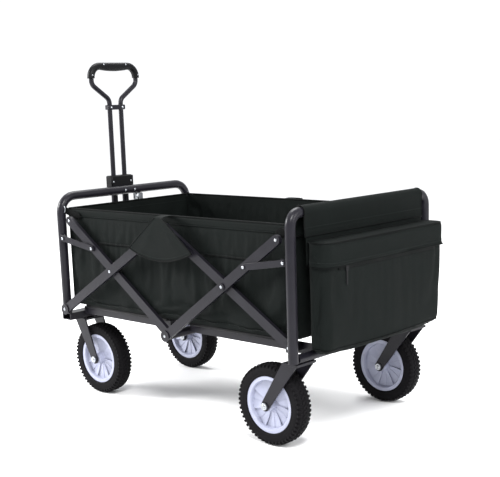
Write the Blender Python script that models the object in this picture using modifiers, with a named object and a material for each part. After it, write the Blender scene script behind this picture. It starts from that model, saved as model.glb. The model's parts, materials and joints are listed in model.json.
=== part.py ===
"""Folding utility wagon with a telescopic pull handle.

Frame: metres, +Z up, X along the length with the handle end at -X and the
rear bag at +X, Y across. The origin is on the floor under the middle of the
standing wagon. "left" is -Y and "right" is +Y.

Layout of the folding frame: an upright tube hoop stands at each end. On each
side four flat bars cross as two overlapping scissors:
  bar B  front pivot P1 -> apex N        bar C  rear pivot P2 -> apex N
  bar A  centre pivot M -> front top     bar D  centre pivot M -> rear top
A crosses B at C1, D crosses C at C2, and short links tie A to the front hoop
and D to the rear hoop. The whole frame folds in length.
"""
import math

import bmesh
import bpy
from mathutils import Matrix, Vector

# ---------------------------------------------------------------- driving sizes
TOUCH = 0.0003                # gap left between pieces that touch
RUN = 0.0004                  # radial clearance of a pin in its hole

# hoops
HOOP_SPACING = 0.860          # front leg axis to rear leg axis
HOOP_RADIUS = 0.0125          # tube radius
HOOP_TOP = 0.562              # height of the crossbar axis
FRONT_HOOP_BEND = 0.045       # bend radius at the hoop's shoulders
REAR_HOOP_BEND = 0.030
REAR_LEG_BOTTOM = 0.219

# side bars
BAR_THICK = 0.010
BAR_HALF_WIDTH = 0.012
BAR_LAYER_GAP = 0.001         # between the inner and the outer layer of bars
INNER_LAYER_Y = 0.248         # bars A and C, mid-thickness
SIDE_PIVOT_INSET = 0.020      # from a leg's axis to its bar pivot
SIDE_PIVOT_Z = 0.250
APEX_RISE = 0.253             # apex N above the side pivots
CROSS_X = 0.208               # C1 and C2, from the middle of the wagon
LONG_BAR_SLOPE = 0.713        # rise over run of bars A and D
LONG_BAR_REACH = 0.383        # their top end, from the middle of the wagon
LINK_JOINT_X = 0.285          # where the links meet bars A and D
FOLDED_SPACING = 0.340        # hoop spacing when folded

# pins and links
PIN_RADIUS = 0.0045
PIN_HEAD_RADIUS = 0.009
PIN_HEAD_THICK = 0.0026
WASHER_RADIUS = 0.015
LINK_THICK = 0.004
LINK_HALF_WIDTH = 0.008
LINK_LEG_GAP = 0.0015         # between a leg and the link's rounded end
LUG_THICK = 0.0038
OPEN_HOLE_RADIUS = 0.0095     # bar A's hole at M, larger than its pin

# bottom members
CHANNEL_WIDTH = 0.036
CHANNEL_HEIGHT = 0.020
CHANNEL_WALL = 0.0025
CHANNEL_BOTTOM = 0.2165
CROSS_TUBE_RADIUS = 0.011
REAR_TUBE_Z = 0.226

# floor, one half on each hoop
FLOOR_PIVOT_INSET = 0.045     # from a leg's axis
FLOOR_PIVOT_Z = 0.242
FLOOR_REACH = 0.348           # from the floor's pivot to its inner end
RAIL_SIZE = 0.020
RAIL_Y = 0.200
BOARD_THICK = 0.010
BOARD_START = 0.013           # from the floor's pivot
BOARD_HALF_WIDTH = 0.222
FLOOR_LUG_GAP = 0.0005

# tub fabric
TUB_WALL = 0.0035
TUB_BOTTOM = 0.2635
TUB_RIM = 0.530
TUB_SIDE_Y = 0.226            # inner face of the side walls
END_WALL_INSET = 0.022        # from a leg's axis to the inner face of an end wall

# wheels
TYRE_RADIUS = 0.100
TYRE_HALF_WIDTH = 0.024
TYRE_SHOULDER = 0.008
RIM_RADIUS = 0.070
RIM_LIP = 0.011
HUB_HALF_WIDTH = 0.020
HUB_WEB_HALF = 0.011
BOSS_RADIUS = 0.017
BOSS_HALF = 0.0255
AXLE_RADIUS = 0.005
AXLE_HEAD_RADIUS = 0.009
AXLE_HEAD_THICK = 0.005
FRONT_WHEEL_Y = 0.174
REAR_WHEEL_Y = 0.228
REAR_WHEEL_LEAD = 0.096       # rear axle, ahead of the rear legs
CASTER_STEM_INSET = 0.010     # swivel axis, behind the front legs
CASTER_TRAIL = 0.055

# forks
FORK_PLATE = 0.004
FORK_GAP = 0.004              # between boss and fork plate
FORK_END_RADIUS = 0.013
CROWN_LENGTH = 0.046
CROWN_THICK = 0.006
CROWN_GAP = 0.002             # under the channel or the cross tube
STEM_RADIUS = 0.008
STEM_NUT_RADIUS = 0.012
STEM_NUT_THICK = 0.006

# pull handle
HANDLE_INSET = 0.030          # handle plane, ahead of the front legs
HANDLE_PIVOT_Z = 0.246
HANDLE_TUBE_Y = 0.021
LOWER_TUBE_RADIUS = 0.0095
LOWER_TUBE_BORE = 0.0077
UPPER_TUBE_RADIUS = 0.0070
LOWER_TUBE_TOP = 0.588
LOWER_BORE_BOTTOM = 0.296
UPPER_TUBE_BOTTOM = 0.500
LOCK_BOTTOM = 0.568
LOCK_TOP = 0.604
LOCK_HALF_WIDTH = 0.040
LOCK_HALF_DEPTH = 0.0145
LEVER_THICK = 0.006
PLATE_BOTTOM = 0.794
PLATE_TOP = 0.808
PLATE_HALF_WIDTH = 0.032
PLATE_HALF_DEPTH = 0.009
SPREAD_ANGLE = 55             # of the upper tubes, away from the handle's axis
SPREAD_BEND = 0.022           # their bend radius
SPREAD_TOP = 0.878            # where the tubes are upright again
GRIP_RADIUS = 0.0115
GRIP_END_Y = 0.083
GRIP_END_Z = 0.884
GRIP_TOP_Z = 0.917
GRIP_BEND = 0.031
BRACKET_CHEEK = 0.003
BRACKET_PIN_RADIUS = 0.004

# rear bag
BAG_GAP = 0.016               # from the rear legs' axis to the bag
BAG_DEPTH = 0.062
BAG_HALF_WIDTH = 0.236
BAG_BOTTOM = 0.240
BAG_TOP = 0.4945
BAG_WALL = 0.003
LID_TOP = 0.499
LID_HEM = 0.440
LID_CLEAR = 0.001             # between lid and bag
LID_HINGE_OFFSET = 0.004      # lid's hinge line, behind the bag's front face
SLEEVE_WALL = 0.0025
SLEEVE_CLEAR = 0.001
SLEEVE_HEM = 0.506
SLEEVE_HALF_LENGTH = 0.232

# apex covers
COVER_THICK = 0.003
COVER_CLEAR = 0.002
COVER_HALF_WIDTH = 0.115
COVER_CORNER_Z = 0.447
COVER_HEM_Z = 0.421

ROUND_STEPS = 24              # wheels
SMALL_STEPS = 16              # pins and small turned pieces

# ------------------------------------------------------------- derived positions
HOOP_HALF = HOOP_SPACING / 2
FRONT_REACH = HOOP_HALF + HANDLE_INSET + LOCK_HALF_DEPTH
REAR_REACH = HOOP_HALF + BAG_GAP + BAG_DEPTH + LID_CLEAR + BAG_WALL
MID_X = (FRONT_REACH - REAR_REACH) / 2        # middle of the folding frame
FRONT_X = MID_X - HOOP_HALF
REAR_X = MID_X + HOOP_HALF

OUTER_LAYER_Y = INNER_LAYER_Y + BAR_THICK + BAR_LAYER_GAP
INNER_FACE = INNER_LAYER_Y - BAR_THICK / 2    # inner face of the inner layer
MIDDLE_FACE = INNER_LAYER_Y + BAR_THICK / 2
OUTER_FACE = OUTER_LAYER_Y + BAR_THICK / 2
FRONT_LEG_Y = OUTER_LAYER_Y - BAR_THICK / 2 - 0.0005 - HOOP_RADIUS
REAR_LEG_Y = MIDDLE_FACE + 0.001 + HOOP_RADIUS

PIVOT_HALF = HOOP_HALF - SIDE_PIVOT_INSET
LINK_PIVOT_INSET = HOOP_RADIUS + LINK_HALF_WIDTH + LINK_LEG_GAP   # from a leg's axis to the link's pivot
APEX_Z = SIDE_PIVOT_Z + APEX_RISE
CROSS_Z = SIDE_PIVOT_Z + APEX_RISE * (PIVOT_HALF - CROSS_X) / PIVOT_HALF
CENTRE_Z = CROSS_Z - LONG_BAR_SLOPE * CROSS_X
LONG_BAR_TOP_Z = CENTRE_Z + LONG_BAR_SLOPE * LONG_BAR_REACH
LINK_JOINT_Z = CENTRE_Z + LONG_BAR_SLOPE * LINK_JOINT_X
CHANNEL_TOP = CHANNEL_BOTTOM + CHANNEL_HEIGHT
CASTER_X = FRONT_X + CASTER_STEM_INSET
FRONT_WHEEL_X = CASTER_X + CASTER_TRAIL
REAR_WHEEL_X = REAR_X - REAR_WHEEL_LEAD
HANDLE_X = FRONT_X - HANDLE_INSET
FRONT_FLOOR_X = FRONT_X + FLOOR_PIVOT_INSET
REAR_FLOOR_X = REAR_X - FLOOR_PIVOT_INSET
BAG_X = REAR_X + BAG_GAP
LID_HINGE_X = BAG_X + LID_HINGE_OFFSET
COVER_Y = OUTER_FACE + PIN_HEAD_THICK + COVER_CLEAR


def link_pivot_height():
    """Height of the links' pivots on the legs, at which a link has the same length open and folded."""
    half_bar = PIVOT_HALF / math.hypot(PIVOT_HALF, APEX_RISE)
    full = PIVOT_HALF / half_bar
    folded_half = FOLDED_SPACING / 2 - SIDE_PIVOT_INSET
    steep_b = math.acos(folded_half / full)
    upper_b = CROSS_X / half_bar
    lower_a = CROSS_X * math.hypot(1, LONG_BAR_SLOPE)
    steep_a = math.acos(upper_b * math.cos(steep_b) / lower_a)
    centre_folded = (
        SIDE_PIVOT_Z + (full - upper_b) * math.sin(steep_b) - lower_a * math.sin(steep_a)
    )
    reach = LINK_JOINT_X * math.hypot(1, LONG_BAR_SLOPE)
    open_dx = HOOP_HALF - LINK_PIVOT_INSET - LINK_JOINT_X
    fold_dx = FOLDED_SPACING / 2 - LINK_PIVOT_INSET - reach * math.cos(steep_a)
    fold_z = centre_folded + reach * math.sin(steep_a)
    top = fold_dx**2 + fold_z**2 - open_dx**2 - LINK_JOINT_Z**2
    return top / (2 * (fold_z - LINK_JOINT_Z))


LINK_PIVOT_Z = link_pivot_height()

# ------------------------------------------------------------------ scene set-up
for old in list(bpy.data.objects):
    bpy.data.objects.remove(old, do_unlink=True)

PARTS = bpy.data.collections.new("folding_wagon")
CUTTERS = bpy.data.collections.new("cutters")
bpy.context.scene.collection.children.link(PARTS)
bpy.context.scene.collection.children.link(CUTTERS)


def material(name, colour, roughness, metallic=0.0):
    mat = bpy.data.materials.new(name)
    mat.use_nodes = True
    shader = mat.node_tree.nodes["Principled BSDF"]
    shader.inputs["Base Color"].default_value = (*colour, 1.0)
    shader.inputs["Roughness"].default_value = roughness
    shader.inputs["Metallic"].default_value = metallic
    return mat


FRAME_PAINT = material("frame_paint", (0.030, 0.029, 0.034), 0.45, 0.3)
FABRIC = material("black_fabric", (0.014, 0.017, 0.017), 0.9)
ZINC = material("zinc_steel", (0.55, 0.56, 0.58), 0.35, 1.0)
RUBBER = material("tyre_rubber", (0.018, 0.018, 0.019), 0.85)
HUB_PLASTIC = material("hub_plastic", (0.50, 0.52, 0.56), 0.5)
BLACK_PLASTIC = material("black_plastic", (0.02, 0.02, 0.021), 0.5)

# ------------------------------------------------------------- bodies and joints
BODY_PLACES = {}


def body(name, location, parent=None):
    """An empty on a joint's axis, which carries that joint's pieces."""
    empty = bpy.data.objects.new(name + "_axis", None)
    empty.empty_display_size = 0.03
    PARTS.objects.link(empty)
    empty.location = location
    if parent:
        empty.parent = BODY_PLACES[parent]
        empty.matrix_parent_inverse = Matrix.Translation(-Vector(BODY_PLACES[parent]["place"]))
    empty["place"] = location
    BODY_PLACES[name] = empty


def attach(obj, body_name):
    empty = BODY_PLACES[body_name]
    obj.parent = empty
    obj.matrix_parent_inverse = Matrix.Translation(-Vector(empty["place"]))


# ---------------------------------------------------------------- shape builders
def add_object(name, data, mat):
    obj = bpy.data.objects.new(name, data)
    obj.data.materials.append(mat)
    PARTS.objects.link(obj)
    return obj


def mesh_object(name, bm, mat):
    mesh = bpy.data.meshes.new(name)
    bm.to_mesh(mesh)
    bm.free()
    return add_object(name, mesh, mat)


def box(name, low, high, mat, bevel=0.0):
    """A box between two corners, with its edges rounded by one segment where asked."""
    low, high = Vector(low), Vector(high)
    bm = bmesh.new()
    bmesh.ops.create_cube(bm, size=1.0)
    bmesh.ops.scale(bm, vec=high - low, verts=bm.verts)
    bmesh.ops.translate(bm, vec=(low + high) / 2, verts=bm.verts)
    obj = mesh_object(name, bm, mat)
    if bevel:
        modifier = obj.modifiers.new("rounded_edges", "BEVEL")
        modifier.width = bevel
        modifier.segments = 1
    return obj


def box_about(name, side, x_span, y_span, z_span, mat, bevel=0.0):
    """A box on one side of the wagon: y_span is measured outward from the middle."""
    ys = sorted(side * y for y in y_span)
    return box(name, (x_span[0], ys[0], z_span[0]), (x_span[1], ys[1], z_span[1]), mat, bevel)


def mesh_from_curve(obj):
    """Swap a curve object for a welded mesh, so that it can be cut and joined."""
    evaluated = obj.evaluated_get(bpy.context.evaluated_depsgraph_get())
    mesh = bpy.data.meshes.new_from_object(evaluated)
    bm = bmesh.new()
    bm.from_mesh(mesh)
    bmesh.ops.remove_doubles(bm, verts=bm.verts, dist=1e-6)
    bmesh.ops.recalc_face_normals(bm, faces=bm.faces)
    bm.to_mesh(mesh)
    bm.free()
    solid = bpy.data.objects.new(obj.name + "_solid", mesh)
    PARTS.objects.link(solid)
    solid.matrix_world = obj.matrix_basis
    name = obj.name
    bpy.data.objects.remove(obj, do_unlink=True)
    solid.name = name
    return solid


def plate(name, outlines, y_mid, thick, mat):
    """A flat plate in the XZ plane: the first outline is its edge and any others are holes."""
    curve = bpy.data.curves.new(name, "CURVE")
    curve.dimensions = "2D"
    curve.fill_mode = "BOTH"
    curve.extrude = thick / 2
    for outline in outlines:
        spline = curve.splines.new("POLY")
        spline.points.add(len(outline) - 1)
        for point, (x, z) in zip(spline.points, outline):
            point.co = (x, z, 0, 1)
        spline.use_cyclic_u = True
    obj = add_object(name, curve, mat)
    obj.rotation_euler = (math.pi / 2, 0, 0)
    obj.location = (0, y_mid, 0)
    bpy.context.view_layer.update()
    return mesh_from_curve(obj)


def tube(name, points, radius, mat, sides_level=4):
    """A round bar along a path, with flat ends."""
    curve = bpy.data.curves.new(name, "CURVE")
    curve.dimensions = "3D"
    curve.bevel_depth = radius
    curve.bevel_resolution = sides_level
    curve.use_fill_caps = True
    spline = curve.splines.new("POLY")
    spline.points.add(len(points) - 1)
    for point, place in zip(spline.points, points):
        point.co = (*place, 1)
    obj = add_object(name, curve, mat)
    bpy.context.view_layer.update()
    return mesh_from_curve(obj)


def turned(name, profile, centre, axis, mat, steps, ring=False):
    """A turned piece. profile holds (radius, height) from its top, down its outer side;
    a ring's profile closes on itself, any other starts and ends on the axis."""
    bm = bmesh.new()
    verts = [bm.verts.new((radius, 0, height)) for radius, height in profile]
    for first, second in zip(verts, verts[1:]):
        bm.edges.new((first, second))
    if ring:
        bm.edges.new((verts[-1], verts[0]))
    obj = mesh_object(name, bm, mat)
    screw = obj.modifiers.new("turn", "SCREW")
    screw.steps = steps
    screw.render_steps = steps
    screw.use_merge_vertices = True
    screw.merge_threshold = 1e-5
    screw.use_normal_calculate = False
    obj.rotation_euler = Vector(axis).to_track_quat("Z", "Y").to_euler()
    obj.location = centre
    return obj


def disc_profile(*steps):
    """Profile of stacked cylinders given as (radius, top, bottom), from the top down."""
    profile = [(0, steps[0][1])]
    for radius, top, bottom in steps:
        profile += [(radius, top), (radius, bottom)]
    profile.append((0, steps[-1][2]))
    return profile


def side_pin(name, side, x, z, stack, mat):
    """A stepped pin along Y on one side. stack holds (radius, outer, inner) distances from the middle."""
    return turned(name, disc_profile(*stack), (x, 0, z), (0, side, 0), mat, SMALL_STEPS)


def drill(name, centre, axis, radius, length, steps=SMALL_STEPS):
    """A round cutter centred on a point."""
    return turned(
        name, disc_profile((radius, length / 2, -length / 2)), centre, axis, ZINC, steps
    )


def boolean(target, operation, tools):
    for tool in tools:
        PARTS.objects.unlink(tool)
        CUTTERS.objects.link(tool)
        tool.hide_render = True
        tool.display_type = "WIRE"
        modifier = target.modifiers.new(tool.name, "BOOLEAN")
        modifier.operation = operation
        modifier.object = tool
        modifier.solver = "EXACT"


def join(target, *tools):
    boolean(target, "UNION", tools)


def cut(target, *tools):
    boolean(target, "DIFFERENCE", tools)


def smooth_round(obj):
    if obj.type == "MESH":
        obj.data.shade_smooth()
        obj.data.set_sharp_from_angle(angle=math.radians(35))


def arc(centre, radius, start, end, steps):
    """Points on an arc, angles in degrees."""
    angles = [math.radians(start + (end - start) * i / steps) for i in range(steps + 1)]
    return [(centre[0] + radius * math.cos(a), centre[1] + radius * math.sin(a)) for a in angles]


def circle(centre, radius, steps=SMALL_STEPS):
    return arc(centre, radius, 0, 360 * (steps - 1) / steps, steps - 1)


def stadium(first, second, radius, steps=6):
    """Outline of a bar with round ends about two points."""
    angle = math.degrees(math.atan2(second[1] - first[1], second[0] - first[0]))
    return arc(second, radius, angle - 90, angle + 90, steps) + arc(
        first, radius, angle + 90, angle + 270, steps
    )


SIDES = (("left", -1), ("right", 1))

# ------------------------------------------------------------------------ bodies
body("rear_frame", (REAR_X, 0, 0))
body("bars_c", (REAR_X - SIDE_PIVOT_INSET, 0, SIDE_PIVOT_Z), "rear_frame")
body("bars_b", (MID_X, 0, APEX_Z), "bars_c")
body("bars_d", (MID_X + CROSS_X, 0, CROSS_Z), "bars_c")
body("bars_a", (MID_X - CROSS_X, 0, CROSS_Z), "bars_b")
body("apex_cover", (MID_X, 0, APEX_Z), "bars_c")
body("front_frame", (FRONT_X + SIDE_PIVOT_INSET, 0, SIDE_PIVOT_Z), "bars_b")
body("link_front", (FRONT_X + LINK_PIVOT_INSET, 0, LINK_PIVOT_Z), "front_frame")
body("link_rear", (REAR_X - LINK_PIVOT_INSET, 0, LINK_PIVOT_Z), "rear_frame")
body("floor_front", (FRONT_FLOOR_X, 0, FLOOR_PIVOT_Z), "front_frame")
body("floor_rear", (REAR_FLOOR_X, 0, FLOOR_PIVOT_Z), "rear_frame")
body("bag_lid", (LID_HINGE_X, 0, LID_TOP), "rear_frame")
body("zip_slider", (BAG_X + BAG_DEPTH, -0.165, LID_HEM), "rear_frame")
body("handle_lower", (HANDLE_X, 0, HANDLE_PIVOT_Z), "front_frame")
body("handle_upper", (HANDLE_X, 0, LOCK_TOP), "handle_lower")
body("lock_lever", (HANDLE_X, LOCK_HALF_WIDTH, LOCK_TOP), "handle_lower")
for side_name, side in SIDES:
    body("caster_" + side_name, (CASTER_X, side * FRONT_WHEEL_Y, CHANNEL_BOTTOM), "front_frame")
    body(
        "front_wheel_" + side_name,
        (FRONT_WHEEL_X, side * FRONT_WHEEL_Y, TYRE_RADIUS),
        "caster_" + side_name,
    )
    body("rear_wheel_" + side_name, (REAR_WHEEL_X, side * REAR_WHEEL_Y, TYRE_RADIUS), "rear_frame")


# ------------------------------------------------------------------------- hoops
def hoop_path(x, leg_y, bottom, bend):
    left = arc((-leg_y + bend, HOOP_TOP - bend), bend, 180, 90, 6)
    right = arc((leg_y - bend, HOOP_TOP - bend), bend, 90, 0, 6)
    path = [(-leg_y, bottom)] + left + right + [(leg_y, bottom)]
    return [(x, y, z) for y, z in path]


def lug(name, side, leg_x, inward, pivot_inset, z, y_span, half_height):
    """A plate welded to a leg, reaching inward past its pivot."""
    reach = sorted((leg_x + inward * 0.004, leg_x + inward * (pivot_inset + 0.010)))
    return box_about(name, side, reach, y_span, (z - half_height, z + half_height), FRAME_PAINT)


def build_front_hoop():
    path = hoop_path(FRONT_X, FRONT_LEG_Y, CHANNEL_TOP + TOUCH, FRONT_HOOP_BEND)
    hoop = tube("front_hoop", path, HOOP_RADIUS, FRAME_PAINT)
    for side_name, side in SIDES:
        lug_outer = MIDDLE_FACE + BAR_LAYER_GAP / 3
        plate_span = (lug_outer - LUG_THICK, lug_outer)
        pivot_lug = lug(
            "pivot_lug_front_" + side_name, side, FRONT_X, 1, SIDE_PIVOT_INSET, SIDE_PIVOT_Z, plate_span, 0.011
        )
        link_lug = lug(
            "link_lug_front_" + side_name, side, FRONT_X, 1, LINK_PIVOT_INSET, LINK_PIVOT_Z, plate_span, 0.009
        )
        pin = side_pin(
            "pivot_pin_front_" + side_name, side, FRONT_X + SIDE_PIVOT_INSET, SIDE_PIVOT_Z,
            (
                (WASHER_RADIUS, OUTER_FACE + RUN + PIN_HEAD_THICK, OUTER_FACE + RUN),
                (PIN_RADIUS, OUTER_FACE + RUN, lug_outer - LUG_THICK / 2),
            ),
            ZINC,
        )
        join(hoop, pivot_lug, link_lug, pin)
    attach(hoop, "front_frame")


def build_rear_hoop():
    path = hoop_path(REAR_X, REAR_LEG_Y, REAR_LEG_BOTTOM, REAR_HOOP_BEND)
    hoop = tube("rear_hoop", path, HOOP_RADIUS, FRAME_PAINT)
    for side_name, side in SIDES:
        pivot_span = (MIDDLE_FACE + RUN, MIDDLE_FACE + RUN + LUG_THICK)
        pivot_lug = lug(
            "pivot_lug_rear_" + side_name, side, REAR_X, -1, SIDE_PIVOT_INSET, SIDE_PIVOT_Z, pivot_span, 0.011
        )
        link_span = (OUTER_FACE + RUN - LUG_THICK, OUTER_FACE + RUN)
        link_lug = lug(
            "link_lug_rear_" + side_name, side, REAR_X, -1, LINK_PIVOT_INSET, LINK_PIVOT_Z, link_span, 0.009
        )
        pin = side_pin(
            "pivot_pin_rear_" + side_name, side, REAR_X - SIDE_PIVOT_INSET, SIDE_PIVOT_Z,
            (
                (PIN_HEAD_RADIUS, pivot_span[1] + PIN_HEAD_THICK, pivot_span[1] - 0.0005),
                (PIN_RADIUS, pivot_span[1] - 0.0005, INNER_FACE - RUN),
                (PIN_HEAD_RADIUS, INNER_FACE - RUN, INNER_FACE - RUN - PIN_HEAD_THICK),
            ),
            ZINC,
        )
        join(hoop, pivot_lug, link_lug, pin)
    attach(hoop, "rear_frame")


# --------------------------------------------------------------------- side bars
def side_bar(name, side, layer_y, ends, holes, body_name):
    """A flat bar with round ends. holes holds ((x, z), radius)."""
    outlines = [stadium(ends[0], ends[1], BAR_HALF_WIDTH)]
    outlines += [circle(place, radius) for place, radius in holes]
    bar = plate(name, outlines, side * layer_y, BAR_THICK, FRAME_PAINT)
    attach(bar, body_name)
    return bar


def build_side_bars():
    hole = PIN_RADIUS + RUN
    apex = (MID_X, APEX_Z)
    centre = (MID_X, CENTRE_Z)
    front_pivot = (FRONT_X + SIDE_PIVOT_INSET, SIDE_PIVOT_Z)
    rear_pivot = (REAR_X - SIDE_PIVOT_INSET, SIDE_PIVOT_Z)
    cross_front = (MID_X - CROSS_X, CROSS_Z)
    cross_rear = (MID_X + CROSS_X, CROSS_Z)
    front_top = (MID_X - LONG_BAR_REACH, LONG_BAR_TOP_Z)
    rear_top = (MID_X + LONG_BAR_REACH, LONG_BAR_TOP_Z)
    outer_head = (PIN_HEAD_RADIUS, OUTER_FACE + RUN + PIN_HEAD_THICK, OUTER_FACE + RUN)
    inner_head = (PIN_HEAD_RADIUS, INNER_FACE - RUN, INNER_FACE - RUN - PIN_HEAD_THICK)
    for side_name, side in SIDES:
        side_bar(
            "bar_a_" + side_name, side, INNER_LAYER_Y, (centre, front_top),
            ((centre, OPEN_HOLE_RADIUS), (cross_front, hole)), "bars_a",
        )
        bar_b = side_bar(
            "bar_b_" + side_name, side, OUTER_LAYER_Y, (front_pivot, apex),
            ((front_pivot, hole), (apex, hole)), "bars_b",
        )
        join(bar_b, side_pin(
            "cross_pin_b_" + side_name, side, *cross_front,
            ((PIN_RADIUS, OUTER_LAYER_Y, INNER_FACE - RUN), inner_head), ZINC,
        ))
        bar_c = side_bar(
            "bar_c_" + side_name, side, INNER_LAYER_Y, (rear_pivot, apex), ((rear_pivot, hole),), "bars_c"
        )
        for place_name, place in (("apex", apex), ("cross", cross_rear)):
            join(bar_c, side_pin(
                place_name + "_pin_c_" + side_name, side, *place,
                (outer_head, (PIN_RADIUS, OUTER_FACE + RUN, INNER_LAYER_Y)), ZINC,
            ))
        side_bar(
            "bar_d_" + side_name, side, OUTER_LAYER_Y, (centre, rear_top),
            ((centre, hole), (cross_rear, hole)), "bars_d",
        )


def build_centre_cross_tube():
    """The tube between the two sides at M, with its pins and outer washers."""
    tube_end = INNER_FACE - RUN
    head = OUTER_FACE + RUN
    outer = head + PIN_HEAD_THICK
    cross = turned(
        "centre_cross_tube",
        disc_profile(
            (WASHER_RADIUS, outer, head), (PIN_RADIUS, head, tube_end),
            (CROSS_TUBE_RADIUS, tube_end, -tube_end),
            (PIN_RADIUS, -tube_end, -head), (WASHER_RADIUS, -head, -outer),
        ),
        (MID_X, 0, CENTRE_Z), (0, 1, 0), FRAME_PAINT, SMALL_STEPS,
    )
    attach(cross, "bars_d")


def build_links():
    rear_inner = OUTER_FACE + 2 * RUN
    front_inner = MIDDLE_FACE + BAR_LAYER_GAP + RUN
    ends = (("front", -1, front_inner), ("rear", 1, rear_inner))
    for end_name, end, inner in ends:
        pivot = (MID_X + end * (HOOP_HALF - LINK_PIVOT_INSET), LINK_PIVOT_Z)
        joint = (MID_X + end * LINK_JOINT_X, LINK_JOINT_Z)
        for side_name, side in SIDES:
            link = plate(
                "link_" + end_name + "_" + side_name, [stadium(pivot, joint, LINK_HALF_WIDTH)],
                side * (inner + LINK_THICK / 2), LINK_THICK, FRAME_PAINT,
            )
            face = inner + LINK_THICK
            for place_name, place in (("leg", pivot), ("bar", joint)):
                join(link, side_pin(
                    place_name + "_rivet_" + end_name + "_" + side_name, side, *place,
                    ((0.0055, face + 0.002, face - 0.001),), ZINC,
                ))
            attach(link, "link_" + end_name)


# ---------------------------------------------------------------- bottom members
def floor_lug(name, side, frame_x, pivot_x, inward):
    """A plate on a bottom member that carries the pin of a floor rail."""
    outer = RAIL_Y - RAIL_SIZE / 2 - FLOOR_LUG_GAP
    x_span = sorted((frame_x, pivot_x + inward * 0.008))
    return box_about(
        name, side, x_span, (outer - 0.0055, outer), (FLOOR_PIVOT_Z - 0.020, FLOOR_PIVOT_Z + 0.008), FRAME_PAINT
    )


def floor_pin(name, side, pivot_x):
    outer = RAIL_Y + RAIL_SIZE / 2 + 0.002
    inner = RAIL_Y - RAIL_SIZE / 2 - 0.004
    return side_pin(name, side, pivot_x, FLOOR_PIVOT_Z, ((PIN_RADIUS, outer, inner),), ZINC)


def build_front_cross_channel():
    half = CHANNEL_WIDTH / 2
    length = FRONT_LEG_Y + HOOP_RADIUS - 0.001
    channel = box(
        "front_cross_channel", (FRONT_X - half + 0.008, -length, CHANNEL_BOTTOM),
        (FRONT_X + half + 0.008, length, CHANNEL_TOP), FRAME_PAINT,
    )
    inside = box(
        "channel_hollow",
        (FRONT_X - half + 0.008 + CHANNEL_WALL, -length - 0.01, CHANNEL_BOTTOM + CHANNEL_WALL),
        (FRONT_X + half + 0.008 - CHANNEL_WALL, length + 0.01, CHANNEL_TOP - CHANNEL_WALL), FRAME_PAINT,
    )
    cut(channel, inside)
    for side_name, side in SIDES:
        name = "_front_" + side_name
        join(
            channel,
            floor_lug("floor_lug" + name, side, FRONT_X + half + 0.007, FRONT_FLOOR_X, 1),
            floor_pin("floor_pin" + name, side, FRONT_FLOOR_X),
        )
        cut(channel, drill(
            "stem_hole_" + side_name, (CASTER_X, side * FRONT_WHEEL_Y, CHANNEL_BOTTOM + CHANNEL_HEIGHT / 2),
            (0, 0, 1), STEM_RADIUS + RUN, CHANNEL_HEIGHT + 0.01,
        ))
    attach(channel, "front_frame")


def build_rear_cross_tube():
    half = REAR_LEG_Y - HOOP_RADIUS - TOUCH
    cross = turned(
        "rear_cross_tube", disc_profile((CROSS_TUBE_RADIUS, half, -half)), (REAR_X, 0, REAR_TUBE_Z),
        (0, 1, 0), FRAME_PAINT, SMALL_STEPS,
    )
    for side_name, side in SIDES:
        name = "_rear_" + side_name
        join(
            cross,
            floor_lug("floor_lug" + name, side, REAR_X - CROSS_TUBE_RADIUS / 2, REAR_FLOOR_X, -1),
            floor_pin("floor_pin" + name, side, REAR_FLOOR_X),
        )
    attach(cross, "rear_frame")


# ------------------------------------------------------------------------- floor
def build_floor():
    for end_name, end in (("front", -1), ("rear", 1)):
        pivot_x = FRONT_FLOOR_X if end < 0 else REAR_FLOOR_X
        inner = pivot_x - end * FLOOR_REACH
        for side_name, side in SIDES:
            rail = box_about(
                "floor_rail_" + end_name + "_" + side_name, side, sorted((pivot_x + end * 0.008, inner)),
                (RAIL_Y - RAIL_SIZE / 2, RAIL_Y + RAIL_SIZE / 2),
                (FLOOR_PIVOT_Z - RAIL_SIZE / 2, FLOOR_PIVOT_Z + RAIL_SIZE / 2), FRAME_PAINT,
            )
            cut(rail, drill(
                "rail_hole_" + end_name + "_" + side_name, (pivot_x, side * RAIL_Y, FLOOR_PIVOT_Z),
                (0, 1, 0), PIN_RADIUS + RUN, RAIL_SIZE + 0.01,
            ))
            attach(rail, "floor_" + end_name)
        low = FLOOR_PIVOT_Z + RAIL_SIZE / 2 + TOUCH
        xs = sorted((pivot_x - end * BOARD_START, inner))
        board = box(
            "floor_board_" + end_name, (xs[0], -BOARD_HALF_WIDTH, low),
            (xs[1], BOARD_HALF_WIDTH, low + BOARD_THICK), FABRIC, 0.002,
        )
        attach(board, "floor_" + end_name)


# -------------------------------------------------------------------- tub fabric
def build_tub():
    front_inner = FRONT_X + END_WALL_INSET
    rear_inner = REAR_X - END_WALL_INSET
    half = TUB_SIDE_Y - 0.0005
    front = box(
        "tub_front_wall", (front_inner - TUB_WALL, -half, TUB_BOTTOM), (front_inner, half, TUB_RIM), FABRIC
    )
    rear = box("tub_rear_wall", (rear_inner, -half, TUB_BOTTOM), (rear_inner + TUB_WALL, half, TUB_RIM), FABRIC)
    attach(front, "front_frame")
    attach(rear, "rear_frame")
    for side_name, side in SIDES:
        wall = box_about(
            "tub_side_" + side_name, side, (front_inner - TUB_WALL, rear_inner + TUB_WALL),
            (TUB_SIDE_Y, TUB_SIDE_Y + TUB_WALL), (TUB_BOTTOM, TUB_RIM), FABRIC,
        )
        attach(wall, "rear_frame")


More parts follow.
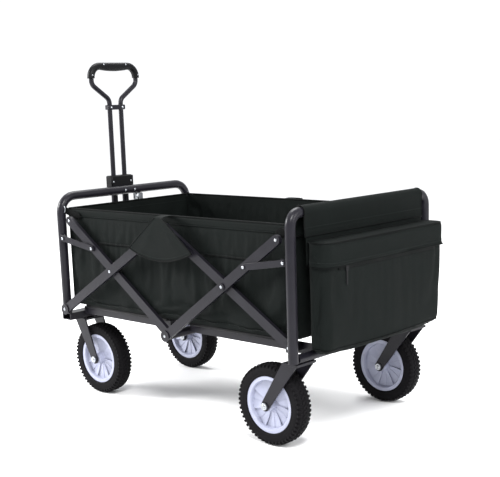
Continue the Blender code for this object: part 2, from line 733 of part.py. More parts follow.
def build_apex_covers():
    """Fabric flaps over the scissor apexes: straight sides along the bars and a round hem."""
    sag = COVER_CORNER_Z - COVER_HEM_Z
    radius = (COVER_HALF_WIDTH**2 + sag**2) / (2 * sag)
    spread = math.degrees(math.asin(COVER_HALF_WIDTH / radius))
    hem = arc((MID_X, COVER_HEM_Z + radius), radius, 270 - spread, 270 + spread, 8)
    peak = [(MID_X + 0.012, TUB_RIM), (MID_X - 0.012, TUB_RIM)]
    for side_name, side in SIDES:
        cover = plate(
            "apex_cover_" + side_name, [hem + peak], side * (COVER_Y + COVER_THICK / 2), COVER_THICK, FABRIC
        )
        attach(cover, "apex_cover")


# ------------------------------------------------------------------------ wheels
def build_wheel(name, x, y, body_name):
    centre = (x, y, TYRE_RADIUS)
    outer, half, shoulder = TYRE_RADIUS, TYRE_HALF_WIDTH, TYRE_SHOULDER
    tyre = turned(
        "tyre_" + name,
        (
            (RIM_RADIUS, half - 0.002), (outer - shoulder, half), (outer, half - shoulder),
            (outer, shoulder - half), (outer - shoulder, -half), (RIM_RADIUS, 0.002 - half),
        ),
        centre, (0, 1, 0), RUBBER, ROUND_STEPS, ring=True,
    )
    bore = AXLE_RADIUS + RUN
    rim = RIM_RADIUS - TOUCH
    lip = rim - RIM_LIP
    upper = ((bore, BOSS_HALF), (BOSS_RADIUS, BOSS_HALF), (BOSS_RADIUS, HUB_WEB_HALF))
    upper += ((lip, HUB_WEB_HALF), (lip, HUB_HALF_WIDTH), (rim, HUB_HALF_WIDTH))
    lower = tuple((radius, -height) for radius, height in reversed(upper))
    hub = turned("hub_" + name, upper + lower, centre, (0, 1, 0), HUB_PLASTIC, ROUND_STEPS, ring=True)
    for piece in (tyre, hub):
        attach(piece, body_name)


def build_axle(name, x, y, body_name):
    fork_out = BOSS_HALF + FORK_GAP + FORK_PLATE
    head = fork_out + TOUCH
    axle = turned(
        "axle_" + name,
        disc_profile(
            (AXLE_HEAD_RADIUS, head + AXLE_HEAD_THICK, head), (AXLE_RADIUS, head, -head),
            (AXLE_HEAD_RADIUS, -head, -head - AXLE_HEAD_THICK),
        ),
        (x, y, TYRE_RADIUS), (0, 1, 0), ZINC, SMALL_STEPS,
    )
    attach(axle, body_name)


def fork_outline(axle_x, crown_x, crown_z, lean):
    """Side plate of a fork: wide under the crown and round about the axle."""
    near, far = crown_x - CROWN_LENGTH / 2, crown_x + CROWN_LENGTH / 2
    end = arc((axle_x, TYRE_RADIUS), FORK_END_RADIUS, 200 + lean, 340 + lean, 6)
    return [(far, crown_z), (near, crown_z)] + end


def build_fork(name, axle_x, y, crown_x, crown_top, lean, body_name):
    """Two side plates with axle holes, under one crown plate."""
    inner = BOSS_HALF + FORK_GAP
    crown_low = crown_top - CROWN_THICK
    hole = circle((axle_x, TYRE_RADIUS), AXLE_RADIUS + TOUCH)
    cheeks = []
    for part, offset in (("", inner + FORK_PLATE / 2), ("_cheek", -inner - FORK_PLATE / 2)):
        cheeks.append(plate(
            "fork_" + name + part, [fork_outline(axle_x, crown_x, crown_top - 0.001, lean), hole],
            y + offset, FORK_PLATE, FRAME_PAINT,
        ))
    crown = box(
        "crown_" + name, (crown_x - CROWN_LENGTH / 2 - 0.001, y - inner - FORK_PLATE - 0.001, crown_low),
        (crown_x + CROWN_LENGTH / 2 + 0.001, y + inner + FORK_PLATE + 0.001, crown_top), FRAME_PAINT,
    )
    join(cheeks[0], cheeks[1], crown)
    attach(cheeks[0], body_name)
    return cheeks[0]


def build_running_gear():
    for side_name, side in SIDES:
        y = side * FRONT_WHEEL_Y
        name = "front_" + side_name
        caster = "caster_" + side_name
        build_wheel(name, FRONT_WHEEL_X, y, "front_wheel_" + side_name)
        build_axle(name, FRONT_WHEEL_X, y, caster)
        fork = build_fork(
            name, FRONT_WHEEL_X, y, CASTER_X, CHANNEL_BOTTOM - CROWN_GAP, 30, caster
        )
        stem = turned(
            "stem_" + name,
            disc_profile(
                (STEM_NUT_RADIUS, CHANNEL_TOP + TOUCH + STEM_NUT_THICK, CHANNEL_TOP + TOUCH),
                (STEM_RADIUS, CHANNEL_TOP + TOUCH, CHANNEL_BOTTOM - CROWN_GAP - CROWN_THICK / 2),
            ),
            (CASTER_X, y, 0), (0, 0, 1), ZINC, SMALL_STEPS,
        )
        join(fork, stem)
        y = side * REAR_WHEEL_Y
        name = "rear_" + side_name
        build_wheel(name, REAR_WHEEL_X, y, "rear_wheel_" + side_name)
        build_axle(name, REAR_WHEEL_X, y, "rear_frame")
        build_fork(
            name, REAR_WHEEL_X, y, REAR_X - 0.016, REAR_TUBE_Z - CROSS_TUBE_RADIUS - TOUCH, -40, "rear_frame"
        )


# ------------------------------------------------------------------- pull handle
def build_handle_bracket():
    front = FRONT_X - CHANNEL_WIDTH / 2 + 0.008
    inner = HANDLE_TUBE_Y + LOWER_TUBE_RADIUS + 0.001
    z_span = (CHANNEL_BOTTOM + 0.001, HANDLE_PIVOT_Z + 0.012)
    bracket = box(
        "handle_bracket", (front - TOUCH - 0.004, -inner - BRACKET_CHEEK, z_span[0]),
        (front - TOUCH, inner + BRACKET_CHEEK, z_span[1]), FRAME_PAINT,
    )
    for side_name, side in SIDES:
        join(bracket, box_about(
            "bracket_cheek_" + side_name, side, (HANDLE_X - 0.011, front - TOUCH - 0.001),
            (inner, inner + BRACKET_CHEEK - 0.0002), (z_span[0] + 0.0002, z_span[1] - 0.0002), FRAME_PAINT,
        ))
    join(bracket, turned(
        "bracket_pin",
        disc_profile(
            (0.007, inner + BRACKET_CHEEK + 0.003, inner + BRACKET_CHEEK - 0.001),
            (BRACKET_PIN_RADIUS, inner + BRACKET_CHEEK - 0.001, 0.001 - inner - BRACKET_CHEEK),
            (0.007, 0.001 - inner - BRACKET_CHEEK, -inner - BRACKET_CHEEK - 0.003),
        ),
        (HANDLE_X, 0, HANDLE_PIVOT_Z), (0, 1, 0), ZINC, SMALL_STEPS,
    ))
    attach(bracket, "front_frame")


def build_handle_latch():
    """Spring latch under the crossbar that holds the handle upright."""
    top = HOOP_TOP - HOOP_RADIUS - TOUCH
    latch = box(
        "handle_latch", (FRONT_X - 0.012, 0.034, top - 0.021), (FRONT_X + 0.010, 0.056, top), ZINC, 0.002
    )
    attach(latch, "front_frame")


def build_lower_handle():
    for side_name, side in SIDES:
        y = side * HANDLE_TUBE_Y
        lower = turned(
            "handle_lower_tube_" + side_name,
            (
                (0, LOWER_BORE_BOTTOM), (LOWER_TUBE_BORE, LOWER_BORE_BOTTOM),
                (LOWER_TUBE_BORE, LOWER_TUBE_TOP), (LOWER_TUBE_RADIUS, LOWER_TUBE_TOP),
                (LOWER_TUBE_RADIUS, HANDLE_PIVOT_Z - 0.010), (0, HANDLE_PIVOT_Z - 0.010),
            ),
            (HANDLE_X, y, 0), (0, 0, 1), FRAME_PAINT, SMALL_STEPS,
        )
        cut(lower, drill(
            "handle_pin_hole_" + side_name, (HANDLE_X, y, HANDLE_PIVOT_Z), (0, 1, 0),
            BRACKET_PIN_RADIUS + RUN, 0.03,
        ))
        attach(lower, "handle_lower")
    lock = box(
        "handle_lock_block", (HANDLE_X - LOCK_HALF_DEPTH, -LOCK_HALF_WIDTH, LOCK_BOTTOM),
        (HANDLE_X + LOCK_HALF_DEPTH, LOCK_HALF_WIDTH, LOCK_TOP), BLACK_PLASTIC, 0.003,
    )
    for side_name, side in SIDES:
        seat = LOWER_TUBE_TOP + TOUCH
        cut(lock, turned(
            "lock_bore_" + side_name,
            disc_profile(
                (UPPER_TUBE_RADIUS + TOUCH, LOCK_TOP + 0.01, seat),
                (LOWER_TUBE_RADIUS + TOUCH, seat, LOCK_BOTTOM - 0.01),
            ),
            (HANDLE_X, side * HANDLE_TUBE_Y, 0), (0, 0, 1), ZINC, SMALL_STEPS,
        ))
    attach(lock, "handle_lower")
    lever = box(
        "handle_lock_lever", (HANDLE_X - 0.011, LOCK_HALF_WIDTH + TOUCH, LOCK_BOTTOM + 0.002),
        (HANDLE_X + 0.011, LOCK_HALF_WIDTH + TOUCH + LEVER_THICK, LOCK_TOP - 0.002), BLACK_PLASTIC, 0.0015,
    )
    attach(lever, "lock_lever")


def spread_path(side):
    """An upper tube: straight up through the clamp plate, then out to the grip's end."""
    turn = math.radians(SPREAD_ANGLE)
    bend_out = SPREAD_BEND * (1 - math.cos(turn))
    sloping = (GRIP_END_Y - HANDLE_TUBE_Y - 2 * bend_out) / math.sin(turn)
    spread_start = SPREAD_TOP - 2 * SPREAD_BEND * math.sin(turn) - sloping * math.cos(turn)
    lower = arc((HANDLE_TUBE_Y + SPREAD_BEND, spread_start), SPREAD_BEND, 180, 180 - SPREAD_ANGLE, 5)
    upper = arc((GRIP_END_Y - SPREAD_BEND, SPREAD_TOP), SPREAD_BEND, -SPREAD_ANGLE, 0, 5)
    line = [(HANDLE_TUBE_Y, UPPER_TUBE_BOTTOM)] + lower + upper + [(GRIP_END_Y, GRIP_END_Z - TOUCH)]
    return [(HANDLE_X, side * y, z) for y, z in line]


def build_upper_handle():
    clamp = box(
        "handle_clamp_plate", (HANDLE_X - PLATE_HALF_DEPTH, -PLATE_HALF_WIDTH, PLATE_BOTTOM),
        (HANDLE_X + PLATE_HALF_DEPTH, PLATE_HALF_WIDTH, PLATE_TOP), FRAME_PAINT, 0.002,
    )
    for side_name, side in SIDES:
        upper = tube("handle_upper_tube_" + side_name, spread_path(side), UPPER_TUBE_RADIUS, FRAME_PAINT)
        attach(upper, "handle_upper")
        cut(clamp, drill(
            "plate_hole_" + side_name, (HANDLE_X, side * HANDLE_TUBE_Y, PLATE_TOP), (0, 0, 1),
            UPPER_TUBE_RADIUS + TOUCH, 0.03,
        ))
    attach(clamp, "handle_upper")

    bend = arc((GRIP_END_Y - GRIP_BEND, GRIP_TOP_Z - GRIP_BEND), GRIP_BEND, 0, 90, 6)
    half = [(GRIP_END_Y, GRIP_END_Z)] + bend
    grip_path = [(HANDLE_X, y, z) for y, z in half] + [(HANDLE_X, -y, z) for y, z in reversed(half)]
    attach(tube("handle_grip", grip_path, GRIP_RADIUS, BLACK_PLASTIC), "handle_upper")


# ---------------------------------------------------------------------- rear bag
def build_bag():
    bag = box(
        "bag_body", (BAG_X, -BAG_HALF_WIDTH, BAG_BOTTOM), (BAG_X + BAG_DEPTH, BAG_HALF_WIDTH, BAG_TOP), FABRIC
    )
    cut(bag, box(
        "bag_hollow", (BAG_X + BAG_WALL, BAG_WALL - BAG_HALF_WIDTH, BAG_BOTTOM + BAG_WALL),
        (BAG_X + BAG_DEPTH - BAG_WALL, BAG_HALF_WIDTH - BAG_WALL, BAG_TOP + 0.01), FABRIC,
    ))
    attach(bag, "rear_frame")

    half = BAG_HALF_WIDTH + LID_CLEAR
    outer_x = BAG_X + BAG_DEPTH + LID_CLEAR
    roof = BAG_TOP + LID_CLEAR
    lid = box(
        "bag_lid", (LID_HINGE_X, -half - BAG_WALL, LID_HEM), (outer_x + BAG_WALL, half + BAG_WALL, LID_TOP), FABRIC
    )
    cut(lid, box("lid_hollow", (LID_HINGE_X - 0.01, -half, LID_HEM - 0.01), (outer_x, half, roof), FABRIC))
    attach(lid, "bag_lid")

    face = BAG_X + BAG_DEPTH + TOUCH
    slider = box(
        "zip_slider", (face, -0.170, LID_HEM - 0.013), (face + 0.003, -0.160, LID_HEM - 0.001), BLACK_PLASTIC
    )
    join(slider, box(
        "zip_pull", (face + 0.001, -0.168, LID_HEM - 0.045), (face + 0.0022, -0.162, LID_HEM - 0.010), BLACK_PLASTIC
    ))
    attach(slider, "zip_slider")


def build_crossbar_sleeve():
    """Fabric wrapped over the rear crossbar, with both ends hanging down."""
    inner = HOOP_RADIUS + SLEEVE_CLEAR
    outer = inner + SLEEVE_WALL
    centre = (REAR_X, HOOP_TOP)
    outline = arc(centre, outer, 0, 180, 8) + [(REAR_X - outer, SLEEVE_HEM), (REAR_X - inner, SLEEVE_HEM)]
    outline += arc(centre, inner, 180, 0, 8) + [(REAR_X + inner, SLEEVE_HEM), (REAR_X + outer, SLEEVE_HEM)]
    attach(plate("crossbar_sleeve", [outline], 0, 2 * SLEEVE_HALF_LENGTH, FABRIC), "rear_frame")


build_front_hoop()
build_rear_hoop()
build_side_bars()
build_centre_cross_tube()
build_links()
build_front_cross_channel()
build_rear_cross_tube()
build_floor()
build_tub()
build_apex_covers()
build_running_gear()
build_handle_bracket()
build_handle_latch()
build_lower_handle()
build_upper_handle()
build_bag()
build_crossbar_sleeve()
for piece in PARTS.objects:
    smooth_round(piece)
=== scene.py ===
# %% [markdown]
# # A folding wagon with a pull handle
# The real wagon is a steel frame that folds like scissors, with a polyester tub hung inside it.
# The frame's hard parts come ready modelled. This script gives them their finish and rounds their edges,
# and it makes all that is soft: the tub, the flaps, the sleeve, and the bag at the back.

# %% Load the frame
import json
import math

import bmesh
import bpy
from mathutils import Matrix, Vector, noise

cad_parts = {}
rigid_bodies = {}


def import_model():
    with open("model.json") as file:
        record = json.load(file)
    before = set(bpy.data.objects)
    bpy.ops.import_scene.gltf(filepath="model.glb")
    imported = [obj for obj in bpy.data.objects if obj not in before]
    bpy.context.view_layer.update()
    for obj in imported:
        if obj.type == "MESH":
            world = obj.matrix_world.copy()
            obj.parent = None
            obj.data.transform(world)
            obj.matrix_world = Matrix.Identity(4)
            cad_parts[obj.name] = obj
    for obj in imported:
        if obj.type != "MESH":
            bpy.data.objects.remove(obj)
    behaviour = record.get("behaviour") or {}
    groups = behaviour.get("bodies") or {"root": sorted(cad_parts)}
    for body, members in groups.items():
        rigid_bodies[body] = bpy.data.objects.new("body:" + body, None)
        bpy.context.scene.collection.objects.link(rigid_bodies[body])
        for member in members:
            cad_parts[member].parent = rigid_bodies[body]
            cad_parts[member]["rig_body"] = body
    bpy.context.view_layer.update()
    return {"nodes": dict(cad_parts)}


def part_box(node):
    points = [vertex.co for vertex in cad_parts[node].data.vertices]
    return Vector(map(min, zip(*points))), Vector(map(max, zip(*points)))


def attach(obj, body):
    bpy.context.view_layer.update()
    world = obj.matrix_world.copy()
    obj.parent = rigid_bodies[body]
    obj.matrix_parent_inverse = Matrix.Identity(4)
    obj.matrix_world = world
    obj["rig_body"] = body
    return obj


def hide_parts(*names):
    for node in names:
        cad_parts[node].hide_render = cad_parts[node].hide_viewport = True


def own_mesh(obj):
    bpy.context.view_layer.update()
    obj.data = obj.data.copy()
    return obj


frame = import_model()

MM = 0.001
SAME_PLACE = 1e-6    # points closer than a micrometre are one point
SIDES = (("left", -1), ("right", 1))

# %% [markdown]
# ## Colours and nodes
# A colour on a chart is an sRGB hex value, and a shader wants linear light, so one function turns
# one into the other. A second one adds a node with its settings and links, which keeps each
# material down to the few lines that say what the surface is.

# %% Colour and node helpers
def paint(code):
    """An sRGB hex value as linear red, green, blue and alpha."""
    parts = [int(code[i : i + 2], 16) / 255 for i in (1, 3, 5)]
    return (*[c / 12.92 if c <= 0.04045 else ((c + 0.055) / 1.055) ** 2.4 for c in parts], 1.0)


def add(tree, kind, inputs=None, **settings):
    """Adds one node. Each input takes a value, or the output socket that feeds it."""
    made = tree.nodes.new(kind)
    for name, value in settings.items():
        setattr(made, name, value)
    for name, value in (inputs or {}).items():
        if isinstance(value, bpy.types.NodeSocket):
            tree.links.new(value, made.inputs[name])
        else:
            made.inputs[name].default_value = value
    return made


def start_material(name, **constants):
    """A material with one Principled shader. constants are set on the shader's own sockets."""
    material = bpy.data.materials.new(name)
    material.use_nodes = True
    tree = material.node_tree
    tree.nodes.clear()
    named = {key.replace("_", " "): value for key, value in constants.items()}
    shader = add(tree, "ShaderNodeBsdfPrincipled", named)
    add(tree, "ShaderNodeOutputMaterial", {"Surface": shader.outputs["BSDF"]})
    return material, tree, shader


def speckle(tree, place, size, detail=2.0):
    """Noise whose lumps are about size metres wide, from 0 to 1."""
    return add(tree, "ShaderNodeTexNoise", {"Vector": place, "Scale": 1 / size, "Detail": detail}).outputs["Fac"]


def mix_colours(tree, factor, low, high):
    """RGBA sockets 6 and 7 of a Mix node, blended by factor."""
    return add(tree, "ShaderNodeMix", {0: factor, 6: low, 7: high}, data_type="RGBA").outputs[2]


def spread(tree, value, low, high):
    return add(
        tree, "ShaderNodeMapRange", {"Value": value, "From Min": 0.25, "From Max": 0.75, "To Min": low, "To Max": high}
    ).outputs["Result"]


def bump(tree, height, depth, strength=1.0):
    """depth is the real height of the relief in metres."""
    return add(tree, "ShaderNodeBump", {"Height": height, "Distance": depth, "Strength": strength}).outputs["Normal"]


# %% [markdown]
# ## Hard finishes
# The tubes and bars are powder-coated: dry powder is melted on in an oven, and the skin it leaves
# has a faint orange peel about a millimetre wide. The pins and rivets are zinc plated. The moulded
# pieces are polypropylene with a fine spark-eroded grain, grey for the hubs and black for the handle.

# %% Powder coat, zinc and plastics
def textured_plastic(name, dark, light, grain, relief, rough, wide=0.03, **constants):
    """A coating or moulding: two near shades, a fine relief, and a gloss that varies a little."""
    material, tree, shader = start_material(name, **constants)
    place = add(tree, "ShaderNodeTexCoord").outputs["Object"]
    broad = speckle(tree, place, wide)
    tree.links.new(mix_colours(tree, broad, paint(dark), paint(light)), shader.inputs["Base Color"])
    tree.links.new(spread(tree, broad, *rough), shader.inputs["Roughness"])
    tree.links.new(bump(tree, speckle(tree, place, grain), relief), shader.inputs["Normal"])
    return material


POWDER_COAT = textured_plastic(
    "powder_coated_steel", "#121116", "#1a191f", 1.4 * MM, 0.03 * MM, (0.28, 0.38), Specular_IOR_Level=0.17
)
ZINC = textured_plastic("zinc_plated_steel", "#8d9095", "#b3b6ba", 0.8 * MM, 0.02 * MM, (0.22, 0.4), Metallic=1.0)
HUB = textured_plastic("grey_polypropylene", "#8b8ea1", "#9a9db0", 0.6 * MM, 0.02 * MM, (0.4, 0.52), IOR=1.49)
PLASTIC = textured_plastic(
    "black_polypropylene", "#070709", "#0c0c0e", 0.7 * MM, 0.03 * MM, (0.36, 0.48), IOR=1.49, Specular_IOR_Level=0.12
)
GRIP = textured_plastic(
    "soft_grip_rubber", "#060608", "#0a0a0c", 0.9 * MM, 0.03 * MM, (0.4, 0.52), Specular_IOR_Level=0.12
)
RUBBER = textured_plastic(
    "tyre_rubber", "#09080a", "#0f0e10", 1.2 * MM, 0.05 * MM, (0.6, 0.75), wide=0.012, Specular_IOR_Level=0.07
)
print("hard finishes", 6)

# %% [markdown]
# ## Woven finishes
# The tub is 600-denier polyester, a plain weave: each thread goes over one and under the next, so
# the relief is a checkerboard of two sets of round threads. Real threads are 0.5 mm apart, which is
# too fine to show at this size, so they are drawn 1.6 mm apart. The pattern follows each panel's own
# UV map, whose units are metres, so it bends with the cloth.

# %% Weave and webbing
THREAD = 1.6 * MM


def woven(name, dark, light, pitch, rib, relief, rough):
    """A weave on the UV map, its colour darker in the grooves between the threads as painted shade. rib stretches one
    set of threads, as in webbing.
    """
    material, tree, shader = start_material(name, Specular_IOR_Level=0.05)
    flat = add(tree, "ShaderNodeUVMap", uv_map="cloth").outputs["UV"]
    scaled = add(
        tree, "ShaderNodeVectorMath", {0: flat, 1: (1 / pitch, 1 / (pitch * rib), 1.0)}, operation="MULTIPLY"
    ).outputs["Vector"]
    along = add(tree, "ShaderNodeSeparateXYZ", {"Vector": scaled})
    threads = []
    for axis in ("X", "Y"):
        turn = add(tree, "ShaderNodeMath", {0: along.outputs[axis], 1: math.pi}, operation="MULTIPLY").outputs[0]
        wave = add(tree, "ShaderNodeMath", {0: turn}, operation="SINE").outputs[0]
        threads.append(add(tree, "ShaderNodeMath", {0: wave}, operation="ABSOLUTE").outputs[0])
    over = add(tree, "ShaderNodeTexChecker", {"Vector": scaled, "Scale": 1.0}).outputs["Fac"]
    height = add(tree, "ShaderNodeMix", {"Factor": over, 2: threads[0], 3: threads[1]}, data_type="FLOAT").outputs[0]
    place = add(tree, "ShaderNodeTexCoord").outputs["Object"]
    broad = speckle(tree, place, 0.06, 3.0)
    # Painted shade: the colour runs from dark in the grooves between threads to light on their crowns, and the broad
    # noise varies the tone at random.
    groove_shade_and_tone = add(tree, "ShaderNodeMath", {0: height, 1: broad}, operation="MULTIPLY").outputs[0]
    tree.links.new(mix_colours(tree, groove_shade_and_tone, paint(dark), paint(light)), shader.inputs["Base Color"])
    tree.links.new(spread(tree, broad, *rough), shader.inputs["Roughness"])
    tree.links.new(bump(tree, height, relief), shader.inputs["Normal"])
    return material


POLYESTER = woven("polyester_600d_weave", "#080b0a", "#161a19", THREAD, 1.0, 0.16 * MM, (0.6, 0.75))
WEBBING = woven("polyester_webbing", "#030404", "#0b0c0c", 1.2 * MM, 3.0, 0.3 * MM, (0.6, 0.78))
BINDING = woven("polyester_binding_tape", "#050606", "#0f1211", 1.0 * MM, 1.0, 0.12 * MM, (0.55, 0.7))
SEWING_THREAD = textured_plastic(
    "bonded_nylon_thread", "#141817", "#1d2221", 0.5 * MM, 0.05 * MM, (0.5, 0.6), Specular_IOR_Level=0.15
)
ZIP_NYLON = textured_plastic(
    "coiled_nylon_zip", "#090a0a", "#101212", 0.6 * MM, 0.05 * MM, (0.4, 0.5), Specular_IOR_Level=0.1
)
print("threads", THREAD / MM, "mm apart")

# %% [markdown]
# ## Mesh helpers
# Most soft pieces are one idea: rows of points joined into a skin, which is then given a thickness.
# The distance along each row becomes the UV map, in metres. A finished piece always goes through
# the same last step, which says what body it moves with and which plain solids it stands for.

# %% Pieces, skins and thickness
def new_piece(name, mesh, material):
    piece = bpy.data.objects.new(name, mesh)
    bpy.context.scene.collection.objects.link(piece)
    mesh.materials.clear()
    mesh.materials.append(material)
    return piece


def evaluated_mesh(piece):
    """The piece's mesh with its modifiers applied, and the modifiers gone."""
    bpy.context.view_layer.update()
    graph = bpy.context.evaluated_depsgraph_get()
    mesh = bpy.data.meshes.new_from_object(piece.evaluated_get(graph), preserve_all_data_layers=True, depsgraph=graph)
    old = piece.data
    piece.modifiers.clear()
    piece.data = mesh
    bpy.data.meshes.remove(old)
    mesh.name = piece.name
    return piece


def modify(piece, kind, **settings):
    modifier = piece.modifiers.new(kind.lower(), kind)
    for name, value in settings.items():
        setattr(modifier, name, value)
    return modifier


def face_out(piece, join=0.0):
    """Joins points closer than join, and turns the faces of a closed piece outward."""
    build = bmesh.new()
    build.from_mesh(piece.data)
    if join:
        bmesh.ops.remove_doubles(build, verts=build.verts, dist=join)
    bmesh.ops.recalc_face_normals(build, faces=build.faces)
    build.to_mesh(piece.data)
    build.free()
    return piece


def skin(name, rows, material, closed=False, thickness=0.0, smooth=1):
    """Rows of points as one skin. closed joins each row's end to its start."""
    wide, count = len(rows[0]), len(rows)
    mesh = bpy.data.meshes.new(name)
    steps = wide if closed else wide - 1
    faces = []
    for r in range(count - 1):
        for c in range(steps):
            d = (c + 1) % wide
            faces.append((r * wide + c, r * wide + d, (r + 1) * wide + d, (r + 1) * wide + c))
    mesh.from_pydata([tuple(p) for row in rows for p in row], [], faces)
    across = [[0.0] for _ in rows]
    for r, row in enumerate(rows):
        for c in range(steps):
            across[r].append(across[r][-1] + (Vector(row[(c + 1) % wide]) - Vector(row[c])).length)
    down = [0.0]
    middle = wide // 2
    for r in range(count - 1):
        down.append(down[-1] + (Vector(rows[r + 1][middle]) - Vector(rows[r][middle])).length)
    layer = mesh.uv_layers.new(name="cloth")
    corner = 0
    for r in range(count - 1):
        for c in range(steps):
            for row, column in ((r, c), (r, c + 1), (r + 1, c + 1), (r + 1, c)):
                layer.data[corner].uv = (across[row][column], down[row])
                corner += 1
    piece = new_piece(name, mesh, material)
    if thickness:
        modify(piece, "SOLIDIFY", thickness=thickness, offset=0.0, use_even_offset=False)
    if smooth:
        modify(piece, "SUBSURF", levels=smooth, render_levels=smooth)
    if thickness or smooth:
        evaluated_mesh(piece)
    if thickness:
        face_out(piece)
    piece.data.shade_smooth()
    return piece


def cord_mesh(name, points, radius, material, closed=False, resolution=2):
    """A round piping or wire along points."""
    curve = bpy.data.curves.new(name, "CURVE")
    curve.dimensions = "3D"
    curve.bevel_depth = radius
    curve.bevel_resolution = resolution
    curve.use_fill_caps = not closed
    line = curve.splines.new("POLY")
    line.points.add(len(points) - 1)
    for point, place in zip(line.points, points):
        point.co = (*place, 1.0)
    line.use_cyclic_u = closed
    holder = bpy.data.objects.new(name, curve)
    bpy.context.scene.collection.objects.link(holder)
    bpy.context.view_layer.update()
    mesh = bpy.data.meshes.new_from_object(holder.evaluated_get(bpy.context.evaluated_depsgraph_get()))
    bpy.data.objects.remove(holder)
    piece = new_piece(name, mesh, material)
    build = bmesh.new()
    build.from_mesh(mesh)
    bmesh.ops.remove_doubles(build, verts=build.verts, dist=1e-5)
    bmesh.ops.recalc_face_normals(build, faces=build.faces)
    flat = build.loops.layers.uv.get("cloth") or build.loops.layers.uv.new("cloth")
    for face in build.faces:
        for loop in face.loops:
            loop[flat].uv = (loop.vert.co.x + loop.vert.co.y, loop.vert.co.z)
    build.to_mesh(mesh)
    build.free()
    mesh.shade_smooth()
    return piece


def band(name, points, width, thickness, material):
    """A flat upright strap along points."""
    rows = [[p + Vector((0, 0, width * share)) for p in points] for share in (-0.5, 0.5)]
    return skin(name, rows, material, thickness=thickness)


def merge(name, pieces):
    """Several meshes as one piece, each keeping its own material."""
    build = bmesh.new()
    materials = []
    for piece in pieces:
        before = len(build.faces)
        build.from_mesh(piece.data)
        build.faces.ensure_lookup_table()
        own = list(piece.data.materials)
        for m in own:
            if m not in materials:
                materials.append(m)
        for face in build.faces[before:]:
            face.material_index = materials.index(own[min(face.material_index, len(own) - 1)])
    mesh = bpy.data.meshes.new(name)
    build.to_mesh(mesh)
    build.free()
    for piece in pieces:
        bpy.data.objects.remove(piece)
    made = bpy.data.objects.new(name, mesh)
    bpy.context.scene.collection.objects.link(made)
    for m in materials:
        mesh.materials.append(m)
    return made


def finish_piece(piece, body, slot, *stands_for):
    """Says which body a piece moves with and which plain solids it stands for. slot is not used."""
    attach(piece, body)
    if stands_for:
        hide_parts(*stands_for)
    return piece


print("mesh helpers ready")

# %% [markdown]
# ## Rounded edges on the hard pieces
# Pressed and sawn steel never has a knife edge: the coating rounds it, and that thin bright line
# is what tells the eye where one piece ends. The frame's own solids can't be changed, so each one
# is copied, its loose triangles are joined, and the copy gets a half-millimetre bevel.

# %% Copies with rounded edges
def rounded_copy(node, material, slot, width=0.5 * MM, crease=38):
    source = frame["nodes"][node].data
    build = bmesh.new()
    for vertex in source.vertices:
        build.verts.new(vertex.co)
    build.verts.ensure_lookup_table()
    for polygon in source.polygons:
        try:
            build.faces.new([build.verts[i] for i in polygon.vertices])
        except ValueError:
            print("a doubled face in", node)
    bmesh.ops.remove_doubles(build, verts=build.verts, dist=2e-6)
    bmesh.ops.dissolve_limit(build, angle_limit=math.radians(0.5), verts=build.verts, edges=build.edges)
    mesh = bpy.data.meshes.new(node + "_finished")
    build.to_mesh(mesh)
    build.free()
    piece = new_piece(node + "_finished", mesh, material)
    mesh.shade_smooth()
    mesh.set_sharp_from_angle(angle=math.radians(crease))
    if width:
        modify(
            piece, "BEVEL", width=width, segments=2, limit_method="ANGLE", angle_limit=math.radians(crease),
            use_clamp_overlap=True, harden_normals=True,
        )
        evaluated_mesh(piece)
    return finish_piece(piece, frame["nodes"][node]["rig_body"], slot, node)


def both(name):
    return [name + "_left", name + "_right"]


coated = ["front_hoop", "rear_hoop", "rear_cross_tube", "front_cross_channel", "centre_cross_tube"]
coated += ["handle_bracket", "handle_clamp_plate"]
for pair in (
    "bar_a", "bar_b", "bar_c", "bar_d", "link_front", "link_rear", "fork_front", "fork_rear",
    "floor_rail_front", "floor_rail_rear", "handle_lower_tube", "handle_upper_tube",
):
    coated += both(pair)
for node in coated:
    rounded_copy(node, POWDER_COAT, "frame_paint")
for node in both("axle_front") + both("axle_rear") + ["handle_latch"]:
    rounded_copy(node, ZINC, "zinc")
for node, width in (("handle_lock_block", 1.2 * MM), ("handle_lock_lever", 1.5 * MM), ("zip_slider", 0.5 * MM)):
    rounded_copy(node, PLASTIC, "black_plastic", width)
print("rounded copies", len(coated) + 8)

# %% [markdown]
# ## Repeated pieces
# Rivet heads, tread lugs, hub blades and stitches are each one small shape used many times, so
# Geometry Nodes place them. Three trees do it all: a domed head on every point, a shape turned
# round an axle, and a stitch laid along a line. Each ends in Realize Instances and Set Material,
# and the result is turned into a plain mesh.

# %% Geometry Nodes helpers
def open_tree(name, sockets):
    tree = bpy.data.node_groups.new(name, "GeometryNodeTree")
    tree.interface.new_socket("Geometry", in_out="INPUT", socket_type="NodeSocketGeometry")
    for label, kind in sockets:
        tree.interface.new_socket(label, in_out="INPUT", socket_type="NodeSocket" + kind)
    tree.interface.new_socket("Material", in_out="INPUT", socket_type="NodeSocketMaterial")
    tree.interface.new_socket("Geometry", in_out="OUTPUT", socket_type="NodeSocketGeometry")
    return tree, add(tree, "NodeGroupInput").outputs


def close_tree(tree, given, instances):
    real = add(tree, "GeometryNodeRealizeInstances", {"Geometry": instances}).outputs[0]
    painted = add(tree, "GeometryNodeSetMaterial", {"Geometry": real, "Material": given["Material"]}).outputs[0]
    add(tree, "NodeGroupOutput", {"Geometry": painted})
    return tree


def grow(name, mesh, tree, material, values):
    """Runs a tree on a mesh and keeps the result as a plain piece."""
    piece = new_piece(name, mesh, material)
    modifier = modify(piece, "NODES", node_group=tree)
    given = {**values, "Material": material}
    for socket in tree.interface.items_tree:
        if socket.in_out == "INPUT" and socket.name in given:
            modifier[socket.identifier] = given[socket.name]
    piece.update_tag()
    evaluated_mesh(piece)
    return piece


def points_mesh(name, points, joined=False):
    edges = [(i, i + 1) for i in range(len(points) - 1)] if joined else []
    mesh = bpy.data.meshes.new(name)
    mesh.from_pydata([tuple(p) for p in points], edges, [])
    return mesh


